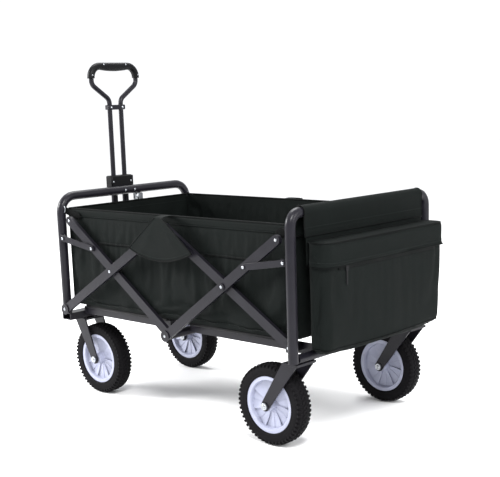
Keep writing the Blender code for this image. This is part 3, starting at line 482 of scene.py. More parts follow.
def heads_tree():
    """A domed head on each point, facing along Y."""
    tree, given = open_tree("domed_heads", (("Radius", "Float"), ("Height", "Float")))
    ball = add(tree, "GeometryNodeMeshUVSphere", {"Segments": 14, "Rings": 8, "Radius": 1.0}).outputs["Mesh"]
    size = add(tree, "ShaderNodeCombineXYZ", {"X": given["Radius"], "Y": given["Height"], "Z": given["Radius"]})
    dome = add(tree, "GeometryNodeTransform", {"Geometry": ball, "Scale": size.outputs[0]}).outputs[0]
    soft = add(tree, "GeometryNodeSetShadeSmooth", {"Geometry": dome}).outputs[0]
    placed = add(tree, "GeometryNodeInstanceOnPoints", {"Points": given["Geometry"], "Instance": soft}).outputs[0]
    return close_tree(tree, given, placed)


def spin_tree():
    """Copies of the given shape, turned in even steps about the Y axis through the origin."""
    tree, given = open_tree("spin_about_axle", (("Count", "Int"), ("Start angle", "Float")))
    line = add(tree, "GeometryNodeMeshLine", {"Count": given["Count"]}, mode="OFFSET")
    line.inputs["Offset"].default_value = (0, 0, 0)
    index = add(tree, "GeometryNodeInputIndex").outputs[0]
    step = add(tree, "ShaderNodeMath", {0: 2 * math.pi, 1: given["Count"]}, operation="DIVIDE").outputs[0]
    turn = add(
        tree, "ShaderNodeMath", {0: index, 1: step, 2: given["Start angle"]}, operation="MULTIPLY_ADD"
    ).outputs[0]
    angle = add(tree, "ShaderNodeCombineXYZ", {"Y": turn}).outputs[0]
    placed = add(
        tree, "GeometryNodeInstanceOnPoints",
        {"Points": line.outputs[0], "Instance": given["Geometry"], "Rotation": angle},
    ).outputs[0]
    return close_tree(tree, given, placed)


def stitch_tree():
    """A short round stitch at every pitch along each line."""
    tree, given = open_tree("stitches_on_line", (("Pitch", "Float"), ("Length", "Float"), ("Thickness", "Float")))
    line = add(tree, "GeometryNodeMeshToCurve", {"Mesh": given["Geometry"]}).outputs[0]
    even = add(
        tree, "GeometryNodeResampleCurve", {"Curve": line, "Length": given["Pitch"]}, mode="LENGTH"
    ).outputs[0]
    ball = add(tree, "GeometryNodeMeshUVSphere", {"Segments": 6, "Rings": 4, "Radius": 0.5}).outputs["Mesh"]
    size = add(
        tree, "ShaderNodeCombineXYZ", {"X": given["Thickness"], "Y": given["Thickness"], "Z": given["Length"]}
    )
    one = add(tree, "GeometryNodeTransform", {"Geometry": ball, "Scale": size.outputs[0]}).outputs[0]
    tangent = add(tree, "GeometryNodeInputTangent").outputs[0]
    angle = add(tree, "FunctionNodeAlignRotationToVector", {"Vector": tangent}, axis="Z").outputs[0]
    placed = add(
        tree, "GeometryNodeInstanceOnPoints", {"Points": even, "Instance": one, "Rotation": angle}
    ).outputs[0]
    return close_tree(tree, given, placed)


HEADS, SPIN, STITCHES = heads_tree(), spin_tree(), stitch_tree()
print("trees", [t.name for t in (HEADS, SPIN, STITCHES)])

# %% [markdown]
# ## Rivets and pivot bolts
# Every pivot is closed by a rivet or a bolt with a domed zinc head. The places follow from the
# frame: half way between the two legs, a bar's pivots are where its ends and crossings are.

# %% Heads on the pivots
def middle(node):
    low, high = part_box(node)
    return (low + high) / 2


HOOP_TUBE_R = 12.5 * MM
front_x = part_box("front_hoop")[0].x + HOOP_TUBE_R
rear_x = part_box("rear_hoop")[1].x - HOOP_TUBE_R
mid_x = (front_x + rear_x) / 2
centre_z = middle("centre_cross_tube").z
BAR_SLOPE = 0.713    # how far a long bar rises for each metre along the wagon
CROSS_OUT, CROSS_UP = 208 * MM, 374.6 * MM
LONG_TOP_OUT, LONG_TOP_UP = 383 * MM, centre_z + BAR_SLOPE * 383 * MM
LINK_OUT, LINK_UP = 285 * MM, centre_z + BAR_SLOPE * 285 * MM
LEG_PIVOT_IN, LEG_PIVOT_UP = 20 * MM, 250 * MM
LINK_LEG_IN, LINK_LEG_UP = 22 * MM, 449.2 * MM
OUTER, MIDDLE_LAYER = 264.4 * MM, 267.0 * MM
INNER_HEADS, OUTER_HEADS = 260.4 * MM, 270.8 * MM
head_places = {
    "bars_b": [(mid_x - CROSS_OUT, OUTER, CROSS_UP)],
    "bars_c": [(mid_x + CROSS_OUT, MIDDLE_LAYER, CROSS_UP)],
    "bars_a": [(mid_x - LONG_TOP_OUT, 253 * MM, LONG_TOP_UP)],
    "bars_d": [(mid_x + LONG_TOP_OUT, 264 * MM, LONG_TOP_UP), (mid_x, MIDDLE_LAYER, centre_z)],
    "front_frame": [(front_x + LEG_PIVOT_IN, MIDDLE_LAYER, LEG_PIVOT_UP)],
    "rear_frame": [(rear_x - LEG_PIVOT_IN, INNER_HEADS, LEG_PIVOT_UP)],
    "link_front": [(front_x + LINK_LEG_IN, INNER_HEADS, LINK_LEG_UP), (mid_x - LINK_OUT, INNER_HEADS, LINK_UP)],
    "link_rear": [(rear_x - LINK_LEG_IN, OUTER_HEADS, LINK_LEG_UP), (mid_x + LINK_OUT, OUTER_HEADS, LINK_UP)],
}


def domed_heads(name, spots, body, radius, height, along_x=False):
    """Zinc heads that face along Y, or along X."""
    if along_x:
        spots = [(y, x, z) for x, y, z in spots]
    heads = grow(name, points_mesh(name + "_places", spots), HEADS, ZINC, {"Radius": radius, "Height": height})
    if along_x:
        for vertex in heads.data.vertices:
            vertex.co = (vertex.co.y, vertex.co.x, vertex.co.z)
        face_out(heads)
    finish_piece(heads, body, "zinc")


for body, places in head_places.items():
    spots = [(x, side * y, z) for x, y, z in places for _, side in SIDES]
    domed_heads("rivet_heads_" + body, spots, body, 3.9 * MM, 1.8 * MM)

wheel_bodies = {
    "front_left": "caster_left", "front_right": "caster_right", "rear_left": "rear_frame", "rear_right": "rear_frame"
}
wheel_of = {name: middle("hub_" + name) for name in wheel_bodies}
for name, body in wheel_bodies.items():
    low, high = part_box("axle_" + name)
    spots = [(wheel_of[name].x, y, wheel_of[name].z) for y in (low.y, high.y)]
    domed_heads("axle_caps_" + name, spots, body, 5.5 * MM, 2.5 * MM)
print("pivots with heads", sum(len(p) for p in head_places.values()) * 2)

# %% [markdown]
# ## Tyres
# The tyre is solid rubber with a blocky tread that grips turf: two staggered rows of lugs wrap the
# shoulders and two more rows run between them. The carcass is a turned profile. One block of each
# kind is modelled once, tapered as it leaves the mould, and the spin tree sets it round the wheel.

# %% Turned rings and tread
TYRE_R, RIM_R = 100 * MM, 70 * MM
TREAD_DEPTH = 2.6 * MM
LUGS = 52


def turned_ring(name, profile, material, steps=96):
    """profile holds (radius, place along the axle); the axle is the Y axis."""
    rows = []
    for i in range(steps + 1):
        a = 2 * math.pi * i / steps
        rows.append([(r * math.sin(a), y, r * math.cos(a)) for r, y in profile])
    piece = face_out(skin(name, rows, material, closed=True, smooth=0), SAME_PLACE)
    piece.data.shade_smooth()
    piece.data.set_sharp_from_angle(angle=math.radians(40))
    return piece


def wedge(name, length, width, height, taper, place, lean=0.0, skew=0.0):
    """A block whose base sits at place, grows outward along Z, and narrows by taper. skew slants its ends."""
    mesh = bpy.data.meshes.new(name)
    build = bmesh.new()
    bmesh.ops.create_cube(build, size=1.0)
    for vertex in build.verts:
        share = taper if vertex.co.z > 0 else 1.0
        x = vertex.co.x * length * share + vertex.co.y * skew
        vertex.co = (x, vertex.co.y * width * share, (vertex.co.z + 0.5) * height)
    bmesh.ops.bevel(build, geom=build.edges[:], offset=0.5 * MM, segments=1, affect="EDGES", profile=0.5)
    turn = Matrix.Rotation(lean, 4, "X")
    bmesh.ops.transform(build, matrix=Matrix.Translation(place) @ turn, verts=build.verts)
    build.to_mesh(mesh)
    build.free()
    return mesh


def tread_row(name, phase, **block):
    return grow(name, wedge(name, **block), SPIN, RUBBER, {"Count": LUGS, "Start angle": phase * 2 * math.pi / LUGS})


crown = TYRE_R - TREAD_DEPTH
carcass_profile = [
    (RIM_R + 0.2 * MM, 21 * MM), (73 * MM, 22.6 * MM), (76 * MM, 22.0 * MM), (78 * MM, 22.4 * MM),
    (86 * MM, 22.8 * MM), (90.5 * MM, 22.0 * MM), (94.4 * MM, 19.4 * MM), (crown, 14.5 * MM),
    (crown + 0.6 * MM, 5 * MM),
]
carcass_profile += [(r, -y) for r, y in reversed(carcass_profile)]
wheel_parts = [turned_ring("tyre_carcass", carcass_profile, RUBBER)]
for side in (-1, 1):
    wheel_parts.append(tread_row(
        "shoulder_lugs", 0.25 * (side + 1), length=7.0 * MM, width=11 * MM, height=8.2 * MM, taper=0.82,
        place=(0, side * 16.6 * MM, 89.2 * MM), lean=-side * math.radians(24),
    ))
    wheel_parts.append(tread_row(
        "middle_lugs", 0.25 * (side + 1) + 0.3, length=6.4 * MM, width=9.5 * MM, height=4.4 * MM, taper=0.86,
        place=(0, side * 5.6 * MM, 95.3 * MM), skew=side * 5 * MM,
    ))
tyre = merge("tyre_pattern", wheel_parts)

# %% [markdown]
# ## Hubs
# Each hub is one grey moulding with a stepped rim, a boss for the axle and a turbine of
# blades, every other one sunk. A blade is one slanted sector, so the light falls differently on
# each one. The spin tree sets twice seven of them round the boss.

# %% Rim, boss and blades
BLADES = 7
BLADE_LOW, BLADE_HIGH, BLADE_FACE, BLADE_SWEEP = 15.5 * MM, 59.5 * MM, 6.5 * MM, 0.10


def blade(low, high, rise, sweep):
    """A sector of the wheel's face between two radii. Its leading edge stands proud by rise."""
    rows = []
    for i in range(9):
        r = low + (high - low) * i / 8
        start = sweep * (i / 8) ** 1.4
        row = []
        for j in range(5):
            a = start + math.pi / BLADES * (j / 4 - 0.5)
            y = -(BLADE_FACE + rise * (1 - j / 4) * (0.45 + 0.55 * i / 8))
            row.append((r * math.sin(a), y, r * math.cos(a)))
        rows.append(row)
    return rows


def symmetric(*half):
    """A profile from one half of it, given in millimetres."""
    near = [(r * MM, -y * MM) for r, y in half]
    return near + [(r, -y) for r, y in reversed(near)]


hub_profile = symmetric((58, 10), (59, 17), (61, 19.4), (66, 20), (69.6, 19.6))
web_profile = symmetric((12, 4.5), (59, 4.5))
boss_profile = symmetric((5.4, 25.2), (12.5, 25.2), (14, 24), (16.4, 8))
hub_parts = [
    turned_ring("hub_rim", hub_profile, HUB), turned_ring("hub_web", web_profile, HUB),
    turned_ring("hub_boss", boss_profile, HUB, 48),
]
for face in (-1, 1):
    for kind, rise, phase in (("raised", 5.5 * MM, 0.0), ("sunk", 1.5 * MM, math.pi / BLADES)):
        rows = blade(BLADE_LOW, BLADE_HIGH, rise, BLADE_SWEEP)
        if face > 0:
            rows = [[(-x, -y, z) for x, y, z in row] for row in rows]
        one = skin("hub_blade", rows, HUB, thickness=2.4 * MM, smooth=0)
        shape = one.data.copy()
        bpy.data.objects.remove(one)
        made = grow("hub_blades_" + kind, shape, SPIN, HUB, {"Count": BLADES, "Start angle": phase})
        made.data.set_sharp_from_angle(angle=math.radians(30))
        hub_parts.append(made)
hub = merge("hub_pattern", hub_parts)
for name, place in wheel_of.items():
    for pattern, kind, slot in ((tyre, "tyre", "tyre_rubber"), (hub, "hub", "hub_plastic")):
        copy = new_piece(f"{kind}_{name}_finished", pattern.data.copy(), pattern.data.materials[0])
        copy.data.transform(Matrix.Translation((place.x, place.y, place.z)))
        finish_piece(copy, name.replace("_", "_wheel_"), slot, f"{kind}_{name}")
triangles = sum(len(p.vertices) - 2 for p in tyre.data.polygons)
print("tyre triangles", triangles)
for pattern in (tyre, hub):
    bpy.data.objects.remove(pattern)

# %% [markdown]
# ## How the cloth is made
# A panel that is sewn along its edges and a little too wide between them buckles into folds. That
# could be painted as noise, but Blender's cloth does it the way fabric does: the edges are pinned,
# the weave is let grow by a few percent, and the folds find their own places. The result is written
# back to the mesh, and no point may move further than a stated cap, so it stays clear of the bars.

# %% Cloth that settles, and its thickness
def settle(piece, pins, frames=20, grow=0.0, gravity=1.0, pressure=0.0, cap=6 * MM, bending=0.3):
    """Simulates a piece and keeps the result. pins holds (vertex, share held) pairs."""
    rest = [v.co.copy() for v in piece.data.vertices]
    group = piece.vertex_groups.new(name="pinned")
    for index, share in pins:
        group.add([index], share, "REPLACE")
    cloth = modify(piece, "CLOTH")
    rules = cloth.settings
    rules.quality, rules.mass, rules.air_damping = 6, 0.2, 3.0
    rules.tension_stiffness = rules.compression_stiffness = 20
    rules.shear_stiffness, rules.bending_stiffness = 8, bending
    rules.vertex_group_mass = "pinned"
    rules.shrink_min = -grow
    rules.effector_weights.gravity = gravity
    if pressure:
        rules.use_pressure = True
        rules.uniform_pressure_force = pressure
    cloth.collision_settings.use_collision = False
    cloth.point_cache.frame_start, cloth.point_cache.frame_end = 1, frames
    scene = bpy.context.scene
    for step in range(1, frames + 1):
        scene.frame_set(step)
    shape = piece.evaluated_get(bpy.context.evaluated_depsgraph_get()).to_mesh()
    moved = [v.co.copy() for v in shape.vertices]
    piece.modifiers.clear()
    piece.vertex_groups.clear()
    furthest = 0.0
    for vertex, old, new in zip(piece.data.vertices, rest, moved):
        step = new - old
        furthest = max(furthest, step.length)
        if step.length > cap:
            step *= cap / step.length
        vertex.co = old + step
    scene.frame_set(1)
    print(piece.name, "moved up to", round(furthest / MM, 1), "mm, capped at", round(cap / MM, 1))


def thicken(piece, thickness, offset=-1.0):
    modify(piece, "SOLIDIFY", thickness=thickness, offset=offset, use_even_offset=False)
    modify(piece, "SUBSURF", levels=1, render_levels=1)
    evaluated_mesh(piece)
    face_out(piece)
    piece.data.shade_smooth()


def fold_noise(a, b, seed, wide, tall):
    """Soft lumps about wide by tall metres, from -1 to 1."""
    return noise.noise(Vector((a / wide, b / tall, seed * 7.3)))


def stitch_line(name, points, body, pitch=8 * MM):
    """Thread showing along a seam."""
    row = grow(
        name, points_mesh(name, points, joined=True), STITCHES, SEWING_THREAD,
        {"Pitch": pitch, "Length": 4.6 * MM, "Thickness": 1.3 * MM},
    )
    row.data.shade_smooth()
    return finish_piece(row, body, "black_fabric")


def piping(name, points, radius, body, closed=False):
    """Round binding tape along a seam or a hem."""
    return finish_piece(cord_mesh(name, points, radius, BINDING, closed), body, "black_fabric")


def shifted(points, x=0.0, y=0.0, z=0.0):
    return [p + Vector((x, y, z)) for p in points]


def rows_of(piece, wide):
    """A skin's points, as rows again."""
    points = [v.co.copy() for v in piece.data.vertices]
    return [points[i : i + wide] for i in range(0, len(points), wide)]


# %% [markdown]
# ## The tub's sides
# Each side is one panel that hangs from a hemmed rim. A seam runs along it where the upper band
# is sewn to the lower part, and the slack below the seam falls into upright folds. When the wagon
# folds, a side is pushed together like a curtain.

# %% Side panels, hems and seams
front_low, front_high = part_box("tub_front_wall")
rear_low, rear_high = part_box("tub_rear_wall")
SIDE_LOW, SIDE_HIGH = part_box("tub_side_right")
PANEL_Y = (SIDE_LOW.y + SIDE_HIGH.y) / 2
RIM, HEM_BOTTOM = SIDE_HIGH.z, SIDE_LOW.z
COLUMNS, ROWS = 120, 38
INNER_LIMIT, OUTER_LIMIT = 227.6 * MM, 237.5 * MM    # clear of the floor boards and of the bars
SEAM_Z = 445 * MM


def gather(piece):
    """Gives a piece of the tub's side its own copy of its mesh."""
    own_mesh(piece)


SLACK_FADE, EDGE_FADE, HEM_FADE = 0.05, 0.05, 0.03    # how far in from a held edge the folds grow to full depth


def side_point(column, row, side):
    x = SIDE_LOW.x + (SIDE_HIGH.x - SIDE_LOW.x) * column / (COLUMNS - 1)
    z = RIM + (HEM_BOTTOM - RIM) * row / (ROWS - 1)
    slack = max(0.0, min(1.0, (SEAM_Z + 0.02 - z) / SLACK_FADE))
    edge = min(1.0, (x - SIDE_LOW.x) / EDGE_FADE, (SIDE_HIGH.x - x) / EDGE_FADE)
    low = min(1.0, (z - HEM_BOTTOM) / HEM_FADE)
    fold = fold_noise(x, z, 2 + side, 0.045, 0.2) * 5.0 + fold_noise(x + z * 0.7, z, 5 + side, 0.085, 0.12) * 3.4
    upper = fold_noise(x, z, 9 + side, 0.12, 0.06) * 0.9
    y = PANEL_Y + ((fold + 2.6) * slack * (0.35 + 0.65 * low) + upper) * max(edge, 0.0) * MM
    return Vector((x, side * y, z))


for name, side in SIDES:
    rows = [[side_point(c, r, side) for c in range(COLUMNS)] for r in range(ROWS)]
    if side > 0:
        rows = [list(reversed(row)) for row in rows]
    panel = skin(f"tub_side_{name}_cloth", rows, POLYESTER, smooth=0)
    seam_row = round((RIM - SEAM_Z) / (RIM - HEM_BOTTOM) * (ROWS - 1))
    pins = []
    for r in range(ROWS):
        for c in range(COLUMNS):
            share = 1.0 if r < 4 or r > ROWS - 3 or c < 2 or c > COLUMNS - 3 else 0.0
            if r == seam_row:
                share = max(share, 0.5)
            if share:
                pins.append((r * COLUMNS + c, share))
    settle(panel, pins, frames=26, grow=0.035, gravity=0.6, cap=6.5 * MM)
    for v in panel.data.vertices:
        v.co.y = side * max(INNER_LIMIT, min(OUTER_LIMIT, side * v.co.y))
    lines = rows_of(panel, COLUMNS)
    thicken(panel, 1.4 * MM, offset=0.0)
    finish_piece(panel, "rear_frame", "black_fabric", f"tub_side_{name}")
    hem = skin(
        f"rim_hem_{name}",
        [shifted(lines[0], y=side * 1.3 * MM, z=0.5 * MM)] + [shifted(lines[r], y=side * 1.6 * MM) for r in (1, 2, 3)],
        POLYESTER, thickness=1.2 * MM, smooth=0,
    )
    rim_piping = cord_mesh(
        f"rim_piping_{name}", shifted(lines[0], y=side * 0.4 * MM, z=0.6 * MM), 2.6 * MM, BINDING
    )
    seam = skin(
        f"side_seam_{name}",
        [shifted(lines[seam_row], y=side * 1.7 * MM, z=dz) for dz in (3.5 * MM, 0, -3.5 * MM)],
        BINDING, thickness=1.4 * MM, smooth=0,
    )
    low_hem = skin(
        f"lower_hem_{name}",
        [shifted(lines[r], y=side * 1.6 * MM) for r in (ROWS - 3, ROWS - 2, ROWS - 1)],
        POLYESTER, thickness=1.2 * MM, smooth=0,
    )
    for piece in (hem, rim_piping, seam, low_hem):
        finish_piece(piece, "rear_frame", "black_fabric")
        gather(piece)
    gather(panel)
    for label, row, lift in (("rim", 3, 3 * MM), ("seam", seam_row, 2.4 * MM), ("low", ROWS - 3, -2 * MM)):
        line = shifted(lines[row], y=side * 2.7 * MM, z=lift)
        gather(stitch_line(f"{label}_stitches_{name}", line, "rear_frame"))

# %% [markdown]
# ## The tub's ends and floor
# The two end walls are pulled tight by the hoops, so they only ripple a little. The floor is two
# stiff boards under one cloth. Each half of the cloth moves with its own board, and the halves meet
# over the gap in the middle, where the real floor bends.

# %% End walls and floor cloth
for name, body, low, high, face in (
    ("front", "front_frame", front_low, front_high, 1), ("rear", "rear_frame", rear_low, rear_high, -1),
):
    x = (low.x + high.x) / 2
    rows = []
    for r in range(20):
        z = high.z + (low.z - high.z) * r / 19
        row = []
        for c in range(44):
            y = low.y + (high.y - low.y) * c / 43
            held = min(1.0, (0.5 - abs(c / 43 - 0.5)) * 8) * min(1.0, r / 4, (19 - r) / 3)
            ripple = fold_noise(y, z, 21 + face, 0.07, 0.09) * 2.6 + fold_noise(y, z, 25, 0.03, 0.12) * 1.2
            row.append(Vector((x + held * ripple * MM, y, z)))
        rows.append(row)
    wall = skin(f"tub_{name}_cloth", rows, POLYESTER, thickness=1.4 * MM)
    finish_piece(wall, body, "black_fabric", f"tub_{name}_wall")
    top = [Vector((x, low.y + (high.y - low.y) * c / 30, high.z + 0.6 * MM)) for c in range(31)]
    trims = [piping(f"{name}_rim_piping", top, 2.6 * MM, body)]
    for side_name, side in SIDES:
        line = [Vector((x, side * (PANEL_Y - 0.3 * MM), high.z + (low.z - high.z) * i / 24)) for i in range(25)]
        trims.append(piping(f"{name}_corner_piping_{side_name}", line, 2.8 * MM, body))
    stitch_line(f"{name}_wall_stitches", shifted(top, x=face * 1.3 * MM, z=-18 * MM), body)

FLOOR_HALF, FLOOR_OVERRUN, FLOOR_LIP = 226.5 * MM, 34.5 * MM, 0.2 * MM
for name, body, end in (("front", "floor_front", -1), ("rear", "floor_rear", 1)):
    low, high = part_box(f"floor_board_{name}")
    board_x = low.x if end < 0 else high.x
    outer_x = board_x + end * FLOOR_OVERRUN    # the cloth runs on past the board to the end wall
    lip = mid_x + end * FLOOR_LIP
    top = high.z
    rows = []
    for r in range(30):
        x = outer_x + (lip - outer_x) * r / 29
        over_gap = max(0.0, 1 - abs(x - lip) / 0.035)
        row = []
        for c in range(44):
            y = -FLOOR_HALF + 2 * FLOOR_HALF * c / 43
            lift = 1.4 * MM + abs(fold_noise(x, y, 31, 0.06, 0.05)) * 1.6 * MM - over_gap * 3.0 * MM
            row.append(Vector((x, y, top + lift)))
        rows.append(row)
    cloth = skin(f"floor_cloth_{name}", rows, POLYESTER, thickness=1.2 * MM)
    finish_piece(cloth, body, "black_fabric")
    rounded_copy(f"floor_board_{name}", PLASTIC, "black_fabric", 1.5 * MM)
    across = [Vector((board_x - end * 14 * MM, -215 * MM + 430 * MM * i / 40, top + 3.4 * MM)) for i in range(41)]
    stitch_line(f"floor_stitches_{name}", across, body)
print("end walls and floor done")

# %% [markdown]
# ## Flaps over the scissor joints
# A flap sewn to the rim hangs over the place where the bars cross at the top, so fingers
# stay out of it. It is a triangle with a round hem that lies against the bars: pulled
# tight along them, and loose between. A short bridge takes it over the bars to the rim.

# %% Flaps
cover_low, cover_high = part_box("apex_cover_right")
COVER_HALF = (cover_high.x - cover_low.x) / 2
NECK_HALF, INNER_Y, OVER_BARS_Y, FLAP_Y = 13 * MM, 229.5 * MM, 270.6 * MM, 269.6 * MM
for name, side in SIDES:
    rows = []
    for r in range(26):
        t = r / 25
        row = []
        for c in range(45):
            s = c / 22 - 1
            half = NECK_HALF + (COVER_HALF - NECK_HALF) * t
            drop = t * (83 * MM + 26 * MM * (1 - s * s))
            crease = math.exp(-((abs(s) - 0.62) / 0.16) ** 2) * 1.4 * t
            belly = (1 - s * s) * t * (1 - 0.4 * t) * 2.2
            ripple = fold_noise(mid_x + s * half, t, 41 + side, 0.03, 0.35) * 1.2 * t
            y = FLAP_Y + (crease + belly + ripple + 1.0) * MM
            row.append(Vector((mid_x + s * half, side * y, cover_high.z - drop)))
        rows.append(row)
    bridge = []
    for r in range(8):
        a = r / 8
        reach_y = INNER_Y + (OVER_BARS_Y - INNER_Y) * a
        z = cover_high.z + (1 - a) * 1.5 * MM + 2.0 * MM * math.sin(a * math.pi)
        bridge.append([Vector((mid_x + (c / 22 - 1) * (16 - 3 * a) * MM, side * reach_y, z)) for c in range(45)])
    rows = bridge + rows
    if side > 0:
        rows = [list(reversed(row)) for row in rows]
    flap = skin(f"apex_flap_{name}", rows, POLYESTER, thickness=1.6 * MM)
    finish_piece(flap, "apex_cover", "black_fabric", f"apex_cover_{name}")
    edge = [row[0] for row in rows[8:]] + rows[-1][1:-1] + [row[-1] for row in reversed(rows[8:])]
    trim = piping(f"flap_binding_{name}", shifted(edge, y=side * 0.3 * MM), 2.0 * MM, "apex_cover")
    inset = [
        Vector((
            mid_x + (p.x - mid_x) * 0.93, p.y + side * 1.2 * MM, cover_high.z + (p.z - cover_high.z) * 0.93 - 1 * MM
        ))
        for p in edge
    ]
    stitch_line(f"flap_stitches_{name}", inset, "apex_cover")
print("flaps", 2)

# %% [markdown]
# ## The sleeve on the rear bar
# A strip of the same cloth is folded over the rear hoop's top bar and sewn below it. It is held
# round by the tube above, flat against itself below, and puckers along its stitching.

# %% Sleeve
sleeve_low, sleeve_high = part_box("crossbar_sleeve")
tube_z = sleeve_high.z - 16 * MM
SLEEVE_R = 14.6 * MM
rows = []
for r in range(60):
    y = sleeve_low.y + (sleeve_high.y - sleeve_low.y) * r / 59
    row = []
    for i in range(33):
        u = i / 32
        if u < 0.34:
            t = u / 0.34
            x, z = rear_x - SLEEVE_R, sleeve_low.z + (tube_z - sleeve_low.z) * t
        elif u < 0.66:
            a = math.pi * (1 - (u - 0.34) / 0.32)
            x, z = rear_x + SLEEVE_R * math.cos(a), tube_z + 14.8 * MM * math.sin(a)
        else:
            t = 1 - (u - 0.66) / 0.34
            x, z = rear_x + SLEEVE_R, sleeve_low.z + (tube_z - sleeve_low.z) * t
        away = 1 if x > rear_x else -1
        loose = max(0.0, (tube_z - z) / (tube_z - sleeve_low.z))
        pucker = fold_noise(y, z, 51 + away, 0.022, 0.05) * 1.1 * loose + fold_noise(y, z, 55, 0.06, 0.04) * 0.8
        hollow = -2.2 * loose * (1 - loose) * 4 * 0.6
        row.append(Vector((x + away * (pucker + hollow) * MM, y, z)))
    rows.append(row)
sleeve = skin("crossbar_sleeve_cloth", rows, POLYESTER, thickness=1.6 * MM)
finish_piece(sleeve, "rear_frame", "black_fabric", "crossbar_sleeve")
trims = []
for label, hem, seam, away in (("inner", 0, 4, -1), ("outer", -1, -5, 1)):
    hem_line = shifted([row[hem] for row in rows], z=0.5 * MM)
    seam_line = shifted([row[seam] for row in rows], x=away * 1.2 * MM)
    trims.append(piping(f"sleeve_hem_{label}", hem_line, 1.9 * MM, "rear_frame"))
    stitch_line(f"sleeve_stitches_{label}", seam_line, "rear_frame")
for label, end in (("left", 0), ("right", -1)):
    trims.append(piping(f"sleeve_end_{label}", rows[end], 1.7 * MM, "rear_frame"))
print("sleeve", round((sleeve_high.y - sleeve_low.y) / MM), "mm long")

# %% [markdown]
# ## The back cloth
# Below the sleeve a single layer of cloth runs down behind the lid and carries the bag. It is
# sewn to the sleeve's outer hem, so it hangs straight and only ripples along its top.

# %% Back cloth
bag_low, bag_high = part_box("bag_body")
BACK_WIDTH, BACK_TALL, BACK_TOP = bag_high.y - bag_low.y - 12 * MM, 78 * MM, 520 * MM
rows = []
for r in range(14):
    z = BACK_TOP - BACK_TALL * r / 13
    row = []
    for c in range(48):
        y = bag_low.y + 6 * MM + BACK_WIDTH * c / 47
        ripple = fold_noise(y, z, 57, 0.05, 0.05) * 1.0 * min(1.0, (13 - r) / 6)
        row.append(Vector((bag_low.x - 1.6 * MM + ripple * MM, y, z)))
    rows.append(row)
back_cloth = skin("bag_back_cloth", rows, POLYESTER, thickness=1.2 * MM)
finish_piece(back_cloth, "rear_frame", "black_fabric")
print("back cloth", round(BACK_WIDTH / MM), "mm wide")

# %% [markdown]
# ## The rear bag
# The bag is a soft box with a deep lid. Its wall is one skin of rounded rectangles from the
# middle of the floor to the mouth, which is then blown out a little as cloth, held at the mouth
# and along the back where it is sewn to the tub. The lid is made in the same way, upside down.

# %% Rounded shells
def ring_points(low, high, radius, z, inset=0.0, wide=44, deep=6, turn=4):
    """A rounded rectangle at height z, anticlockwise from above, so that a rising skin faces out."""
    x0, x1, y0, y1 = low.x + inset, high.x - inset, low.y + inset, high.y - inset
    r = max(0.4 * MM, min(radius - inset, (x1 - x0) / 2 - 0.2 * MM))
    points = []
    for cx, cy, start, steps, run in (
        (x1 - r, y0 + r, -90, wide, (0, 1)), (x1 - r, y1 - r, 0, deep, (-1, 0)),
        (x0 + r, y1 - r, 90, wide, (0, -1)), (x0 + r, y0 + r, 180, deep, (1, 0)),
    ):
        for i in range(turn):
            a = math.radians(start + 90 * i / turn)
            points.append(Vector((cx + r * math.cos(a), cy + r * math.sin(a), z)))
        a = math.radians(start + 90)
        begin = Vector((cx + r * math.cos(a), cy + r * math.sin(a), z))
        length = (y1 - y0 if run[1] else x1 - x0) - 2 * r
        for i in range(steps):
            points.append(begin + Vector((run[0], run[1], 0)) * length * i / steps)
    return points


def shell_rows(low, high, corner, rounding, start_z, end_z, sink, crown, turns, tall):
    """Rings from the middle of a flat end at start_z, over its rounded edge, then along the wall to end_z."""
    way = 1 if end_z > start_z else -1
    half_deep = (high.x - low.x) / 2
    rings = []
    for i in range(5):
        inset = half_deep - 0.6 * MM - (half_deep - rounding) * i / 4 * 0.98
        rings.append(ring_points(low, high, corner, start_z + way * sink + crown * (1 - (i / 4) ** 2), inset))
    for i in range(1, turns):
        a = math.pi / 2 * i / turns
        z = start_z + way * rounding * (1 - math.cos(a))
        rings.append(ring_points(low, high, corner, z, rounding * (1 - math.sin(a))))
    for i in range(tall):
        z = start_z + way * rounding + (end_z - start_z - way * rounding) * i / (tall - 1)
        rings.append(ring_points(low, high, corner, z))
    return rings


def close_first_ring(piece, around):
    """Fills the hole inside a shell's first ring."""
    build = bmesh.new()
    build.from_mesh(piece.data)
    build.verts.ensure_lookup_table()
    build.faces.new([build.verts[i] for i in reversed(range(around))])
    build.to_mesh(piece.data)
    build.free()


# %% Bag
LID_HIDES_FROM = 432 * MM    # above this the wall stands behind the lid and is held
rows = shell_rows(
    bag_low, bag_high, corner=22 * MM, rounding=20 * MM, start_z=bag_low.z, end_z=bag_high.z, sink=0.5 * MM,
    crown=0.0, turns=5, tall=27,
)
around = len(rows[0])
for row in rows:
    for p in row:
        if p.x > bag_low.x + 8 * MM and p.z < LID_HIDES_FROM - 2 * MM:
            low_share = min(1.0, (p.z - bag_low.z) / 0.05) * min(1.0, (LID_HIDES_FROM - p.z) / 0.05)
            away = 1 if p.x > (bag_low.x + bag_high.x) / 2 else 0
            lump = fold_noise(p.y, p.z, 61, 0.14, 0.11) * 2.0 + fold_noise(p.y + p.z, p.z - p.y, 63, 0.05, 0.12) * 0.5
            p.x += away * (lump + 2.0) * low_share * MM
bag = skin("bag_pocket_cloth", rows, POLYESTER, closed=True, smooth=0)
pins = [
    (i, 1.0) for i, v in enumerate(bag.data.vertices) if v.co.z > LID_HIDES_FROM or v.co.x < bag_low.x + 3 * MM
]
settle(bag, pins, frames=18, grow=0.003, gravity=1.0, pressure=1.2, cap=6 * MM, bending=0.5)
for v in bag.data.vertices:
    v.co.x = max(v.co.x, bag_low.x)
    v.co.z = max(v.co.z, bag_low.z - 4 * MM)
bag_lines = rows_of(bag, around)
close_first_ring(bag, around)
thicken(bag, 2.2 * MM)
finish_piece(bag, "rear_frame", "black_fabric", "bag_body")

